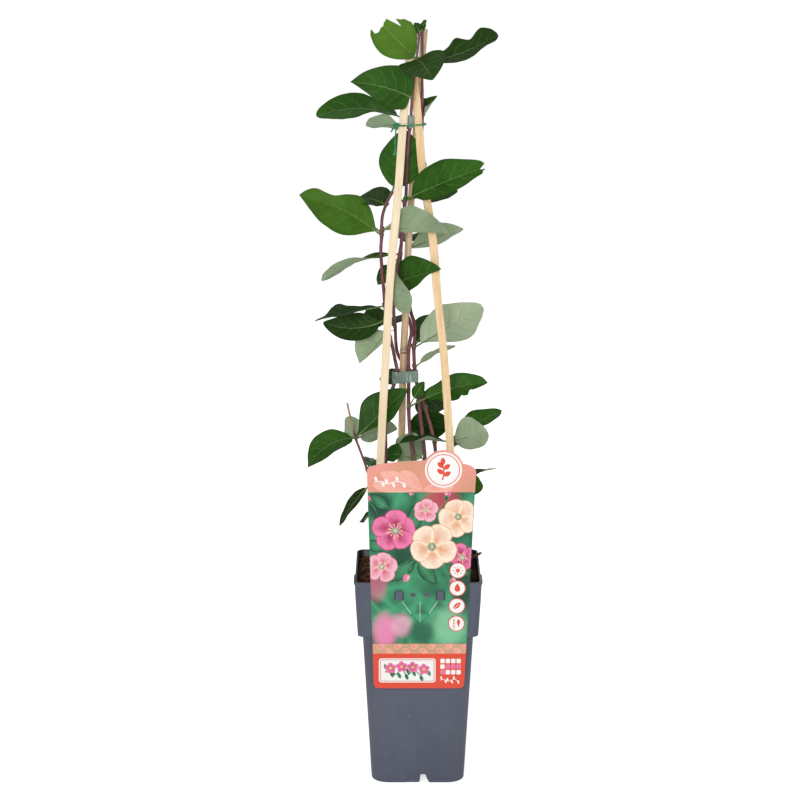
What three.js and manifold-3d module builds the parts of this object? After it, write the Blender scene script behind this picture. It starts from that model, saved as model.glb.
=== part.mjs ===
// A young honeysuckle that climbs three canes in its tall square nursery pot, in millimetres.
// +Z is up and the front, with the label card, faces -Y.
// The origin is the centre of the pot's foot, on the surface that it stands on.
import * as THREE from "three";
import { mergeVertices } from "three/addons/utils/BufferGeometryUtils.js";
import Module from "manifold-3d";

const wasm = await Module();
wasm.setup();

// ---- Driving dimensions ----

const clearance = 0.3; // between pieces that touch
const holeClearance = 0.4; // round stems and canes in the soil
const bond = 0.5; // how far one solid reaches into another that it is moulded to
const past = 1; // how far a cutter reaches past what it cuts

const pot = {
  height: 209,
  wall: 1.4,
  cornerSteps: 3,
  foot: { half: 45.6, corner: 17, bevel: 1.6, skirt: 2.4 },
  floor: { under: 9, thick: 1.6, drains: 8, drainRing: 27, drainRadius: 4, drainSides: 10 },
  body: { half: 53.8, corner: 9, top: 152.5 },
  collar: { half: 57.5, corner: 7.5, bottom: 157 },
  shoulder: 1, // the body's inside reaches this far above its top
  ledge: 1.5, // the collar's own wall starts this far above its foot
  insideCorner: 2, // the tightest corner inside
  rim: { half: 60.5, corner: 7 },
  bib: { out: 1.2, back: -31, inset: 0.3 }, // the front of the collar is a little wider
  notch: { wide: 23, narrow: 18, tall: 9 },
  footPad: { radius: 7, sides: 12 },
  stopRib: { left: -10.7, right: 2, thick: 1.6, behind: 0.8, lift: 0.8 },
};

const lug = {
  places: [-18.5, 21.6],
  width: 7,
  height: 6.6,
  z: 195.6,
  stand: 0.6, // from the card's front to the lip
  root: 0.7, // into the pot's wall
  lipRise: 2.6,
  lipThick: 1.4,
};

const soil = { level: 196, bumps: 2.2, rings: [0.93, 0.78, 0.6, 0.4, 0.2], seed: 7 };

const card = {
  thick: 0.8,
  bottom: 101,
  top: 321,
  halfBottom: 44,
  halfTop: 51.8,
  lean: 1.9, // the card's centre line moves this far to +X at the top
  centre: 1.9,
  corner: 5,
  crown: 10.5, // how far the top edge rises to its middle
  shoulder: { in: 1.5, up: 6 }, // the curve from the right edge up to the disc
  crest: { at: 0.4, under: 1 }, // the highest part of the curve from the disc down to the left
  disc: { x: 23.7, z: 322.5, radius: 19.5 },
  discFrom: 0.32, // the arc of the bump that stands above the card's top edge, in radians
  discTo: 2.64,
  slot: { width: 8.8, height: 9 },
  eyelet: { places: [-5, 8], z: 197, radius: 2.6, sides: 12 },
};

const splint = { width: 7.8, thick: 4, bottom: 112 };
const leftSplint = [
  [-43.9, -41.3, splint.bottom],
  [-41, -36, 196],
  [-36.4, -28, 321],
  [-31.5, -22, 415],
  [-26.2, -16.3, 505],
  [-19.6, -11.9, 575],
  [-14.9, -7.7, 640],
  [-8.4, -3.6, 705],
  [-2.6, -2, 731],
];
const rightSplint = [
  [43, -42.4, splint.bottom],
  [39.5, -36, 196],
  [30.6, -25.2, 337],
  [24.4, -18.5, 425],
  [18.4, -14.4, 479],
  [13.8, -10.3, 533],
  [3.7, -5.1, 600],
  [0.2, -2.1, 640],
  [-2.4, 0, 668],
  [-6.6, 2.6, 700],
  [-13, 4.2, 722],
];

const cane = { radius: 3.9, topRadius: 3.1, sides: 8, ringRise: 0.55, ringCrest: 0.8, ringHalf: 2.56 };
const canePath = [
  [-28, 31, 62],
  [-21.5, 26.5, 196],
  [-15.9, 21.8, 334],
  [-14.4, 18.8, 410],
  [-12.2, 16.6, 455],
  [-9.2, 13.8, 530],
  [-5.8, 11.8, 583],
  [-1.6, 9.5, 645],
  [5.7, 6.6, 731],
];
const caneRings = [140, 285, 420, 548, 668];

// held is what a tie goes round, each [x, y, radius] at its height: corners of the splints, stems, the cane.
const twine = {
  radius: 0.8,
  z: 642.5,
  sides: 6,
  steps: 32,
  clear: 0.45,
  held: [
    [-19, -9.8, 0.01],
    [-19, -5.6, 0.01],
    [-10.9, -9.8, 0.01],
    [4.1, -4.1, 0.01],
    [3.7, 7.4, 2.2],
    [-1.9, 9.7, 3.5],
  ],
  knot: { x: -21, y: -11.2, radius: 2.1 },
  tails: [[-26, -13, 636], [-22.4, -12.4, 615]],
  tailBow: 1.5,
};
const tape = {
  thick: 0.6,
  clear: 0.35,
  sides: 12,
  upper: { low: 648.5, high: 654.5, held: [[-6.95, -5.9, 1.6]] },
  lower: { low: 391, high: 402, held: [[-14.8, 19.4, 3.9], [-9.1, 12.9, 2.1], [-2.1, 15.9, 2.7]] },
};

const chip = {
  outline: [[-13, -2.6], [-4, -3.6], [8, -3], [12.5, 0.4], [5, 3.4], [-9, 2.8]],
  thick: 2.2,
  place: [53.6, 30, 206.6],
  tilt: [0, -0.5, 0.1], // radians
};

const blade = {
  thick: 0.8,
  stalk: 6, // length of the stalk between stem and blade
  stalkHalf: 0.8,
  rows: [0.08, 0.26, 0.48, 0.7, 0.88, 1],
  belly: 0.44, // where along the blade it is widest
  fold: 14, // degrees that each half rises from the midrib
  wave: 1.2,
  waveTurn: 2.2, // radians of the wave from one row to the next
  roundness: 0.78, // lower makes the outline fuller
  tip: 0.995, // the share of its length at which the outline is cut to a narrow edge
  mostStalk: 0.4, // a stalk is at most this share of the leaf
};
const stemSides = 6;
const stemStepsPerPoint = 1.6;

// Each stem is the points its middle runs through, from the soil up.
// Each leaf row gives the height of its node on the stem, where its tip lies from there, its width,
// and the way its upper side faces. arch and swing bow its midrib up and sideways.
const stems = {
  vine_stem_a: {
    radius: 2.1,
    tipRadius: 1.5,
    path: [
      [-25, 3, 150],
      [-27, 2, 199],
      [-30, 0, 265],
      [-31.6, -2, 331],
      [-31.4, 0, 354],
      [-29, 4, 375],
      [-23.5, 8, 389],
      [-20.4, 9, 402],
      [-22.4, 8, 414],
      [-24.8, 5, 427],
      [-27.6, 1, 440],
      [-31, -2, 455],
      [-32, -4, 468],
      [-33, -5, 483],
      [-34.7, -6, 503],
      [-35.8, -7, 523],
      [-35, -7, 537],
      [-35, -6, 548],
      [-33.7, -4, 558],
      [-30, -2, 568],
      [-24.5, 1.5, 579],
    ],
    leaves: [
      { z: 577, tip: [12, 0, 61], wide: 42, face: [0.08, -1, 0.05], arch: -2, swing: 3, fold: 2 },
      { z: 566, tip: [-31, 26, 0], wide: 36, face: [0.1, -0.5, 0.9], arch: 5, stalk: 3 },
      { z: 537, tip: [-78, -15, 41], wide: 42, face: [0.1, -0.9, 0.5], arch: 3, stalk: 9, belly: 0.37 },
      { z: 543, tip: [68, -32, 2], wide: 27, face: [0, 0.97, 0.15], arch: 10, swing: 3, fold: 6 },
      { z: 469, tip: [-67, -12, -13], wide: 28, face: [0.1, -0.1, 1], arch: 3 },
      { z: 455, tip: [-67, 6, -4], wide: 29, face: [0, -0.9, 0.5], arch: -3, swing: -6 },
      { z: 444, tip: [-27, -8, -31], wide: 40, face: [0.2, 0.9, 0.3], swing: -3, stalk: 3, belly: 0.36 },
      { z: 540, tip: [-54, 32, 24], wide: 24, face: [-0.2, -0.3, 1], arch: 4, stalk: 14 },
      { z: 437, tip: [-18, 54, -12], wide: 28, face: [0, 0.2, 1], arch: 5, stalk: 16 },
    ],
  },
  vine_stem_b: {
    radius: 2.1,
    tipRadius: 1.2,
    path: [
      [-6, -1, 150],
      [-5, -2, 199],
      [-5, 0, 260],
      [-4.8, 2, 317],
      [-7.7, 7, 341],
      [-9.1, 10.5, 366],
      [-9.1, 12.5, 386],
      [-9, 13, 402],
      [-9.2, 12.5, 418],
      [-8, 13, 431],
      [-6.4, 16, 439],
      [-7.8, 22.4, 448.5],
      [-12, 24.4, 458],
      [-17.8, 21, 470.5],
      [-18.6, 14.5, 486],
      [-17.8, 12, 501],
      [-17, 10, 516],
      [-16, 7.4, 531],
      [-14.2, 4.4, 556],
      [-12, 1, 571],
      [-11.3, -1.2, 590],
      [-10.2, -3.4, 618],
      [-8.3, -4.4, 638],
      [-7.1, -5.6, 648],
      [-6.9, -6.2, 655],
      [-6.4, -7.8, 664],
      [-5.6, -8.5, 674],
      [-3.5, -8.8, 690],
      [-2, -8.6, 705],
      [-0.5, -8.4, 716],
      [0.8, -8.2, 730],
      [-1, -8, 738],
    ],
    leaves: [
      {
        z: 705,
        tip: [-43, -10, 43],
        wide: 45,
        face: [-0.2, -1, 0.4],
        arch: 2,
        cut: 0.72,
        belly: 0.6,
        stalk: 3,
      },
      { z: 706, tip: [8, -46, -16], wide: 42, face: [-0.3, -0.3, 1], arch: 5, stalk: 2 },
      { z: 668, tip: [-56, -15, 13], wide: 42, face: [-0.05, -1, 0.1], arch: 4, stalk: 2, belly: 0.34 },
      {
        z: 645.5,
        tip: [-86, 16, 5],
        wide: 38,
        face: [-0.1, -0.1, 1],
        faceTip: [-0.1, -0.8, 0.6],
        arch: 9,
        swing: 8,
        stalk: 14,
        belly: 0.56,
      },
      { z: 638.5, tip: [-42, 25, 1], wide: 26, face: [0, 0.6, 0.7], arch: 3, stalk: 12 },
      {
        z: 571,
        tip: [76, -50, 40],
        wide: 40,
        face: [-0.1, -0.95, 0.35],
        arch: 5,
        swing: 3,
        cut: 0.95,
        stalk: 9,
      },
      { z: 571, tip: [50, 19, 2], wide: 24, face: [0, -0.2, 1], arch: 4, stalk: 10 },
      {
        z: 514,
        tip: [-76, -14, -21],
        wide: 28,
        face: [-0.2, 0.5, 0.9],
        faceTip: [-0.3, 0.9, 0.5],
        arch: 10,
        stalk: 12,
      },
      {
        z: 490,
        tip: [36, -35, 17],
        wide: 38,
        face: [0.2, -0.9, 0.6],
        arch: 8,
        swing: 4,
        stalk: 9,
        belly: 0.48,
      },
      { z: 366, tip: [77, -7, 26], wide: 31, face: [0, -0.7, 0.8], arch: 4, swing: -3, stalk: 18 },
      { z: 366, tip: [15, -6, 27], wide: 14, face: [0, -0.9, 0.4], arch: 2, stalk: 4 },
      { z: 316, tip: [-25, 8, 0], wide: 26, face: [0, -0.6, 0.8], arch: 5 },
      { z: 735, tip: [4, -9, 10], wide: 9, face: [0.2, 0.8, 0.6], arch: -1, stalk: 2 },
      { z: 736, tip: [-9, 3, 7], wide: 8, face: [0, -0.6, 0.8], arch: 1, stalk: 2 },
    ],
  },
  vine_stem_c: {
    radius: 2.1,
    tipRadius: 1.2,
    path: [
      [6, 7, 150],
      [6, 5, 199],
      [7, 5, 260],
      [6.6, 6, 321],
      [4.4, 9, 341],
      [2.1, 12, 360],
      [0, 15, 382],
      [-2, 16, 394],
      [-3, 16, 402],
      [-4, 17, 425],
      [-2.6, 21.5, 438],
      [-4, 27, 448],
      [-6.8, 29.5, 457],
      [-8.7, 27.5, 469],
      [-9.7, 24, 485],
      [-9.7, 22.4, 500],
      [-8.8, 20.6, 529],
      [-6.9, 19.6, 554],
      [-5, 18.6, 578],
      [-2.4, 17.2, 602],
      [1.8, 14, 622],
      [3.6, 8.6, 639],
      [3.8, 4.6, 650],
      [3.8, 2, 664],
      [3.4, 1.2, 690],
      [3.6, 0.8, 710],
      [3.4, 0.8, 726],
      [4, 0.6, 737],
    ],
    leaves: [
      { z: 700, tip: [71, -7, 28], wide: 28, face: [0.1, -0.5, 0.8], arch: -5, faceTip: [-0.5, -0.9, 0.7] },
      { z: 700, tip: [36, 34, 2], wide: 30, face: [0, 0.1, 1], arch: 4 },
      { z: 651, tip: [9, 28, 11], wide: 18, face: [0.3, -0.6, 0.7], arch: 2, fold: 30 },
      { z: 627, tip: [-14, 50, -10], wide: 30, face: [0, 0.1, 1], arch: 4 },
      { z: 578, tip: [-10, 52, 28], wide: 36, face: [0, -0.5, 0.9], arch: 5 },
      { z: 578, tip: [38, 44, 8], wide: 34, face: [0, -0.5, 0.9], arch: 5 },
      { z: 521, tip: [55, -3, 19], wide: 35, face: [0, 0.75, 0.65], arch: 3, swing: -4, stalk: 8 },
      { z: 523, tip: [4, 56, 2], wide: 36, face: [0, 0.2, 1], arch: 6 },
      { z: 424, tip: [67, -4, 41], wide: 45, face: [0, 0.95, 0.4], arch: 1, stalk: 11, belly: 0.52 },
      { z: 425, tip: [34, 44, 22], wide: 34, face: [0, -0.2, 1], arch: 6 },
      { z: 405, tip: [30, -6, 20], wide: 15, face: [0.4, 0.5, 0.8], arch: -4 },
      { z: 330, tip: [-23, 7.5, 16], wide: 24, face: [0.1, 1, 0.12], arch: 1, fold: 3, stalk: 4 },
      { z: 736, tip: [8, 4, 8], wide: 7, face: [0, -0.6, 0.8], arch: 1, stalk: 2 },
    ],
  },
  vine_stem_d: {
    radius: 2,
    tipRadius: 1.5,
    path: [
      [24, 12, 150],
      [22, 10, 199],
      [20, 9, 265],
      [16.4, 8, 330],
      [13.3, 11, 344],
      [7.6, 16.4, 363],
      [3.4, 21.4, 376],
      [-0.6, 23.6, 386],
      [-4.3, 25.4, 393],
      [-8.7, 27, 401],
      [-15.2, 27, 408],
      [-19.8, 24, 417],
      [-21.6, 18.5, 430],
      [-22, 14, 442],
      [-23.3, 10, 457],
      [-23.3, 8, 473],
      [-20.8, 7.5, 489],
      [-19.4, 4.8, 510],
      [-15.8, 0.6, 532],
      [-13.9, -2.7, 550],
      [-13.6, -5, 563],
      [-13.6, -6, 571],
    ],
    leaves: [
      { z: 510, tip: [-20, 30, -22], wide: 26, face: [-0.3, -0.6, 0.8], arch: 4 },
      { z: 510, tip: [8, -34, -43], wide: 26, face: [0.5, 0.7, 0.3], arch: -7, stalk: 8 },
      { z: 452, tip: [-40, 24, -12], wide: 32, face: [0, -0.7, 0.7], arch: 4 },
      { z: 398, tip: [-19, 24, -18], wide: 22, face: [0, -0.6, 0.8], arch: 3 },
      { z: 364, tip: [10, 24, -38], wide: 36, face: [0.1, -0.8, 0.5], arch: 4, fold: 8 },
      { z: 380, tip: [30, 40, -10], wide: 32, face: [0, -0.2, 1], arch: 4 },
      { z: 330, tip: [-6, 50, 8], wide: 32, face: [0, -0.1, 1], arch: 5 },
      { z: 446, tip: [-12, 50, -2], wide: 32, face: [0, 0, 1], arch: 3 },
      { z: 568, tip: [2, -3, 10], wide: 7, face: [0, -0.9, 0.3], arch: 1, stalk: 2 },
    ],
  },
  vine_stem_e: {
    radius: 1.5,
    tipRadius: 1.1,
    path: [
      [-32, -6, 150],
      [-34, -8, 199],
      [-39, -10, 245],
      [-44.8, -12, 289],
      [-49.6, -13, 309],
      [-56.3, -14, 329],
      [-60.6, -14, 341],
      [-65, -14, 359],
      [-68.6, -14, 376],
    ],
    leaves: [
      { z: 341, tip: [51, 14, 46], wide: 32, face: [-0.3, -0.95, 0.25], arch: 1, swing: 2, stalk: 3 },
      { z: 340, tip: [40, 28, 4], wide: 26, face: [0, 0.95, 0.25], arch: 2, swing: 2 },
      { z: 341, tip: [-8, 18, 19], wide: 22, face: [0.1, 0.9, 0.2], arch: 1, stalk: 3 },
      { z: 341, tip: [-46, -14, -26], wide: 33, face: [-0.3, -0.6, 0.8], arch: 11, stalk: 3 },
      { z: 309, tip: [8, 30, 3], wide: 20, face: [0, -0.5, 0.8], arch: 3 },
      { z: 289, tip: [-27, -8, -38], wide: 15, face: [-0.5, -0.5, 0.6], arch: 3, swing: 2 },
      { z: 279, tip: [-14, 30, -42], wide: 22, face: [-0.2, -0.4, 0.8], arch: 5 },
    ],
  },
  vine_stem_f: {
    radius: 1.9,
    tipRadius: 1.5,
    path: [
      [18, -2, 150],
      [20, -2, 199],
      [25, -3, 245],
      [28.4, -3, 286],
      [29.7, -4, 317],
      [30.6, -5, 340],
    ],
    leaves: [
      { z: 336, tip: [37, -3, 10], wide: 37, face: [0, 0.9, 0.4], arch: 2, swing: -2, stalk: 5, belly: 0.5 },
      { z: 336, tip: [52, 26, 25], wide: 24, face: [0, -0.7, 0.7], arch: 3 },
      { z: 335, tip: [-49, -20, 3], wide: 28, face: [0, 0.08, 1], arch: 3 },
      { z: 326, tip: [30, 40, 2], wide: 28, face: [0, 0.2, 1], arch: 5 },
      { z: 286, tip: [46, 9, 14], wide: 20, face: [-0.1, 0.05, 1], arch: -3 },
      { z: 276, tip: [33, 24, 12], wide: 24, face: [0.1, -0.6, 0.8], arch: 3 },
      { z: 268, tip: [20, 42, 2], wide: 28, face: [0, 0, 1], arch: 5 },
    ],
  },
};

const vector = (p) => new THREE.Vector3(...p);

// ---- Solids from geometry, and back ----

function solidOf(geometry) {
  const bare = new THREE.BufferGeometry();
  bare.setAttribute("position", geometry.getAttribute("position"));
  if (geometry.index) bare.setIndex(geometry.index);
  const merged = mergeVertices(bare, 1e-4);
  return new wasm.Manifold(
    new wasm.Mesh({
      numProp: 3,
      vertProperties: new Float32Array(merged.attributes.position.array),
      triVerts: new Uint32Array(merged.index.array),
    }),
  );
}

function geometryOf(solid) {
  const { vertProperties, triVerts, numProp } = solid.getMesh();
  const points = new Float32Array((vertProperties.length / numProp) * 3);
  for (let i = 0; i * numProp < vertProperties.length; i++)
    points.set(vertProperties.subarray(i * numProp, i * numProp + 3), i * 3);
  return new THREE.BufferGeometry()
    .setAttribute("position", new THREE.BufferAttribute(points, 3))
    .setIndex(new THREE.BufferAttribute(new Uint32Array(triVerts), 1));
}

const joined = (solids) => solids.reduce((all, next) => all.add(next));
const cutBy = (solid, cutters) => cutters.reduce((rest, cutter) => rest.subtract(cutter), solid);

// A closed solid through rings with the same number of points, listed anticlockwise seen from its end.
function loft(rings) {
  const around = rings[0].length;
  const points = rings.flat();
  const centre = (ring) => ring.reduce((sum, p) => sum.add(p), new THREE.Vector3()).divideScalar(around);
  const start = points.push(centre(rings[0])) - 1;
  const end = points.push(centre(rings.at(-1))) - 1;
  const index = [];
  rings.forEach((ring, k) => {
    for (let i = 0; i < around; i++) {
      const here = k * around + i;
      const next = k * around + ((i + 1) % around);
      if (k === 0) index.push(start, next, here);
      if (k === rings.length - 1) index.push(end, here, next);
      else index.push(here, next, next + around, here, next + around, here + around);
    }
  });
  const geometry = new THREE.BufferGeometry().setFromPoints(points);
  geometry.setIndex(index);
  return solidOf(geometry);
}

function roundedSquare(half, corner, z) {
  const ring = [];
  for (let quarter = 0; quarter < 4; quarter++) {
    for (let step = 0; step <= pot.cornerSteps; step++) {
      const angle = (quarter + step / pot.cornerSteps) * (Math.PI / 2);
      const inner = half - corner;
      const x = [1, -1, -1, 1][quarter] * inner + corner * Math.cos(angle);
      const y = [1, 1, -1, -1][quarter] * inner + corner * Math.sin(angle);
      ring.push(new THREE.Vector3(x, y, z));
    }
  }
  return ring;
}

// A prism along one axis: its outline lies in the XZ plane and it runs from y = from to y = to.
function prismAlongY(outline, from, to) {
  const rings = [to, from].map((y) => outline.map(([x, z]) => new THREE.Vector3(x, y, z)));
  return loft(rings);
}

function box(low, high) {
  const size = high.map((v, i) => v - low[i]);
  const geometry = new THREE.BoxGeometry(...size);
  geometry.translate(...low.map((v, i) => v + size[i] / 2));
  return solidOf(geometry);
}

function upright(radius, low, high, x, y, sides) {
  const geometry = new THREE.CylinderGeometry(radius, radius, high - low, sides);
  geometry.rotateX(Math.PI / 2);
  geometry.translate(x, y, (low + high) / 2);
  return solidOf(geometry);
}

// A repeatable random number from 0 to 1.
function seeded(seed) {
  let state = seed * 7919 + 1;
  return () => {
    state = (state * 16807) % 2147483647;
    return state / 2147483647;
  };
}

const smooth = (path) => new THREE.CatmullRomCurve3(path.map(vector), false, "centripetal");

// The point of a rising curve at a height.
function pointAtHeight(curve, z) {
  let low = 0;
  let high = 1;
  for (let turn = 0; turn < 30; turn++) {
    const share = (low + high) / 2;
    if (curve.getPoint(share).z < z) low = share;
    else high = share;
  }
  return curve.getPoint(high);
}

// The corners of a polygon round a circle, anticlockwise.
function circle(x, y, radius, sides) {
  return Array.from({ length: sides }, (_, i) => {
    const angle = ((i + 0.5) / sides) * Math.PI * 2;
    return new THREE.Vector2(x + radius * Math.cos(angle), y + radius * Math.sin(angle));
  });
}

// A round rod along a smooth path, with its radius as a function of the share of its length.
function rod(path, radiusAt, sides, steps) {
  const curve = smooth(path);
  const rings = [];
  for (let k = 0; k <= steps; k++) {
    const share = k / steps;
    const middle = curve.getPoint(share);
    const along = curve.getTangent(share);
    const side = new THREE.Vector3(0, 1, 0).cross(along).normalize();
    const front = along.clone().cross(side);
    const radius = radiusAt(share);
    const ring = [];
    for (let i = 0; i < sides; i++) {
      const angle = (i / sides) * Math.PI * 2;
      ring.push(
        middle
          .clone()
          .addScaledVector(side, radius * Math.cos(angle))
          .addScaledVector(front, radius * Math.sin(angle)),
      );
    }
    rings.push(ring);
  }
  return loft(rings);
}

// ---- Pot ----

function outerHalf(z) {
  const share = z / pot.body.top;
  return pot.foot.half + (pot.body.half - pot.foot.half) * share;
}

function outerCorner(z) {
  return pot.foot.corner + (pot.body.corner - pot.foot.corner) * (z / pot.body.top);
}

function collarHalf(z) {
  const share = (z - pot.collar.bottom) / (pot.height - pot.collar.bottom);
  return pot.collar.half + (pot.rim.half - pot.collar.half) * share;
}

// The pot's inside, drawn in by a clearance and filled up to a height.
function insideRings(gap, floorTop, top) {
  const drawn = pot.wall + gap;
  const tight = (corner) => Math.max(corner - drawn, pot.insideCorner);
  const ring = (half, corner, z) => roundedSquare(half - drawn, tight(corner), z);
  const shoulder = pot.body.top + pot.shoulder;
  const ledge = pot.collar.bottom + pot.ledge;
  return [
    ring(outerHalf(floorTop), outerCorner(floorTop), floorTop),
    ring(pot.body.half, pot.body.corner, shoulder),
    ring(collarHalf(ledge), pot.collar.corner, ledge),
    ring(collarHalf(top), pot.rim.corner, top),
  ];
}

function bibRing(z) {
  const deep = collarHalf(z) - pot.bib.inset;
  const half = collarHalf(z) + pot.bib.out;
  const corner = pot.rim.corner;
  const ring = [new THREE.Vector3(-half, pot.bib.back, z)];
  for (let step = 0; step <= pot.cornerSteps; step++) {
    const angle = Math.PI + (step / pot.cornerSteps) * (Math.PI / 2);
    const x = -half + corner + corner * Math.cos(angle);
    const y = -deep + corner + corner * Math.sin(angle);
    ring.push(new THREE.Vector3(x, y, z));
  }
  const mirrored = ring.map((p) => new THREE.Vector3(-p.x, p.y, z)).reverse();
  return [...ring, ...mirrored];
}

// One of two lugs that stand through the card's slots, each with a lip that keeps the card on.
function lugSolid(x) {
  const face = collarHalf(lug.z);
  const reach = -face - clearance - card.thick - clearance - lug.stand;
  const [left, right] = [x - lug.width / 2, x + lug.width / 2];
  const [low, high] = [lug.z - lug.height / 2, lug.z + lug.height / 2];
  const neck = box([left, reach, low], [right, -face + lug.root, high]);
  const lip = box([left, reach - lug.lipThick, low], [right, reach, high + lug.lipRise]);
  return neck.add(lip);
}

function potSolid() {
  const { foot, floor, notch, stopRib, footPad } = pot;
  const outer = loft([
    roundedSquare(foot.half - foot.bevel, foot.corner - foot.bevel, 0),
    roundedSquare(outerHalf(foot.bevel), foot.corner, foot.bevel),
    roundedSquare(pot.body.half, pot.body.corner, pot.body.top),
    roundedSquare(pot.collar.half, pot.collar.corner, pot.collar.bottom),
    roundedSquare(pot.rim.half, pot.rim.corner, pot.height),
  ]);
  const bib = loft([bibRing(pot.collar.bottom + pot.ledge), bibRing(pot.height)]);
  const floorTop = floor.under + floor.thick;
  const inside = loft(insideRings(0, floorTop, pot.height + past));
  const hollowFoot = loft([
    roundedSquare(foot.half - foot.bevel - foot.skirt, foot.corner - foot.bevel - foot.skirt, -past),
    roundedSquare(foot.half - foot.skirt, foot.corner - foot.skirt, floor.under),
  ]);
  const drains = [];
  for (let i = 0; i < floor.drains; i++) {
    const angle = ((i + 0.5) / floor.drains) * Math.PI * 2;
    const x = floor.drainRing * Math.cos(angle);
    const y = floor.drainRing * Math.sin(angle);
    drains.push(upright(floor.drainRadius, floor.under - past, floorTop + past, x, y, floor.drainSides));
  }
  const trapezoid = [
    [-notch.wide / 2, -past],
    [notch.wide / 2, -past],
    [notch.narrow / 2, notch.tall],
    [-notch.narrow / 2, notch.tall],
  ];
  const behind = foot.half - foot.skirt - stopRib.behind;
  const notches = [];
  const ribs = [];
  for (let side = 0; side < 4; side++) {
    const turn = [0, 0, side * 90];
    notches.push(prismAlongY(trapezoid, -foot.half - past, -behind).rotate(turn));
    const low = [stopRib.left, -behind, stopRib.lift];
    const high = [stopRib.right, -behind + stopRib.thick, floor.under + bond];
    ribs.push(box(low, high).rotate(turn));
  }
  const shell = cutBy(outer.add(bib), [inside, hollowFoot, ...drains, ...notches]);
  const pad = upright(footPad.radius, 0, floor.under + bond, 0, 0, footPad.sides);
  return joined([shell, pad, ...ribs, ...lug.places.map(lugSolid)]);
}

// ---- Canes ----

// A flat splint: a rectangle swept along a nearly straight path, its broad side to the front.
function splintSolid(path, grow) {
  const curve = smooth(path);
  const half = splint.width / 2 + grow;
  const deep = splint.thick / 2 + grow;
  const steps = path.length * 2;
  const rings = [];
  for (let k = 0; k <= steps; k++) {
    const middle = curve.getPoint(k / steps);
    const ring = [
      [half, -deep],
      [half, deep],
      [-half, deep],
      [-half, -deep],
    ].map(([x, y]) => new THREE.Vector3(middle.x + x, middle.y + y, middle.z));
    if (k === 0) ring.forEach((p) => (p.z -= grow));
    rings.push(ring);
  }
  return loft(rings);
}

function caneSolid(grow) {
  const [start, end] = [canePath[0][2], canePath.at(-1)[2]];
  const { radius, topRadius, ringRise, ringCrest, ringHalf, sides } = cane;
  const plain = (z) => radius + (topRadius - radius) * ((z - start) / (end - start)) + grow;
  const sections = [...canePath.slice(0, -1).map(([, , z]) => z), end].map((z) => [z, plain(z)]);
  for (const z of caneRings) {
    sections.push([z - ringHalf, plain(z)], [z + ringHalf, plain(z)]);
    sections.push([z - ringCrest, plain(z) + ringRise], [z + ringCrest, plain(z) + ringRise]);
  }
  sections.sort((a, b) => a[0] - b[0]);
  const curve = smooth(canePath);
  const rings = sections.map(([z, wide]) => {
    const middle = pointAtHeight(curve, z);
    return circle(middle.x, middle.y, wide, sides).map((p) => new THREE.Vector3(p.x, p.y, z));
  });
  return loft(rings);
}

// ---- Leafy stems ----

// A leaf's half width, as a share of its widest, at a share of its length: oval with a pointed tip.
function outline(share, belly) {
  const power = Math.log(0.5) / Math.log(belly);
  return Math.sin(Math.PI * share ** power) ** blade.roundness;
}

function leafSolid(node, leaf) {
  const tip = vector(leaf.tip);
  const length = tip.length();
  const stalkShare = Math.min((leaf.stalk ?? blade.stalk) / length, blade.mostStalk);
  const facing = vector(leaf.face).normalize();
  const facingTip = vector(leaf.faceTip ?? leaf.face).normalize();
  const square = (v, along) => v.clone().addScaledVector(along, -v.dot(along)).normalize();
  const chord = tip.clone().normalize();
  const up = square(facing, chord);
  const side = chord.clone().cross(up);
  const bow = node
    .clone()
    .addScaledVector(tip, 0.5)
    .addScaledVector(up, 2 * (leaf.arch ?? 0))
    .addScaledVector(side, 2 * (leaf.swing ?? 0));
  const midrib = new THREE.QuadraticBezierCurve3(node, bow, node.clone().add(tip));
  const cut = leaf.cut ?? 1;
  const rows = [0, stalkShare, ...blade.rows.map((row) => stalkShare + (1 - stalkShare) * row * cut)];
  const slope = Math.tan(THREE.MathUtils.degToRad(leaf.fold ?? blade.fold));
  const points = [];
  rows.forEach((share, k) => {
    const middle = midrib.getPoint(share);
    const along = midrib.getTangent(share);
    const normal = square(facing.clone().lerp(facingTip, share), along);
    const across = along.clone().cross(normal);
    const inBlade = Math.max((share - stalkShare) / (1 - stalkShare), 0);
    const spread = inBlade > 0 ? outline(Math.min(inBlade, blade.tip), leaf.belly ?? blade.belly) : 0;
    const half = blade.stalkHalf + (leaf.wide / 2 - blade.stalkHalf) * spread;
    const ripple = (blade.wave * half * 2 * Math.sin(k * blade.waveTurn + leaf.z)) / leaf.wide;
    for (const face of [0, -blade.thick])
      for (const edge of [-1, 0, 1]) {
        const lift = Math.abs(edge) * half * slope + edge * ripple;
        points.push(
          middle
            .clone()
            .addScaledVector(across, edge * half)
            .addScaledVector(normal, face + lift),
        );
      }
  });
  return solidOf(bladeGeometry(points, rows.length));
}

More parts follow.
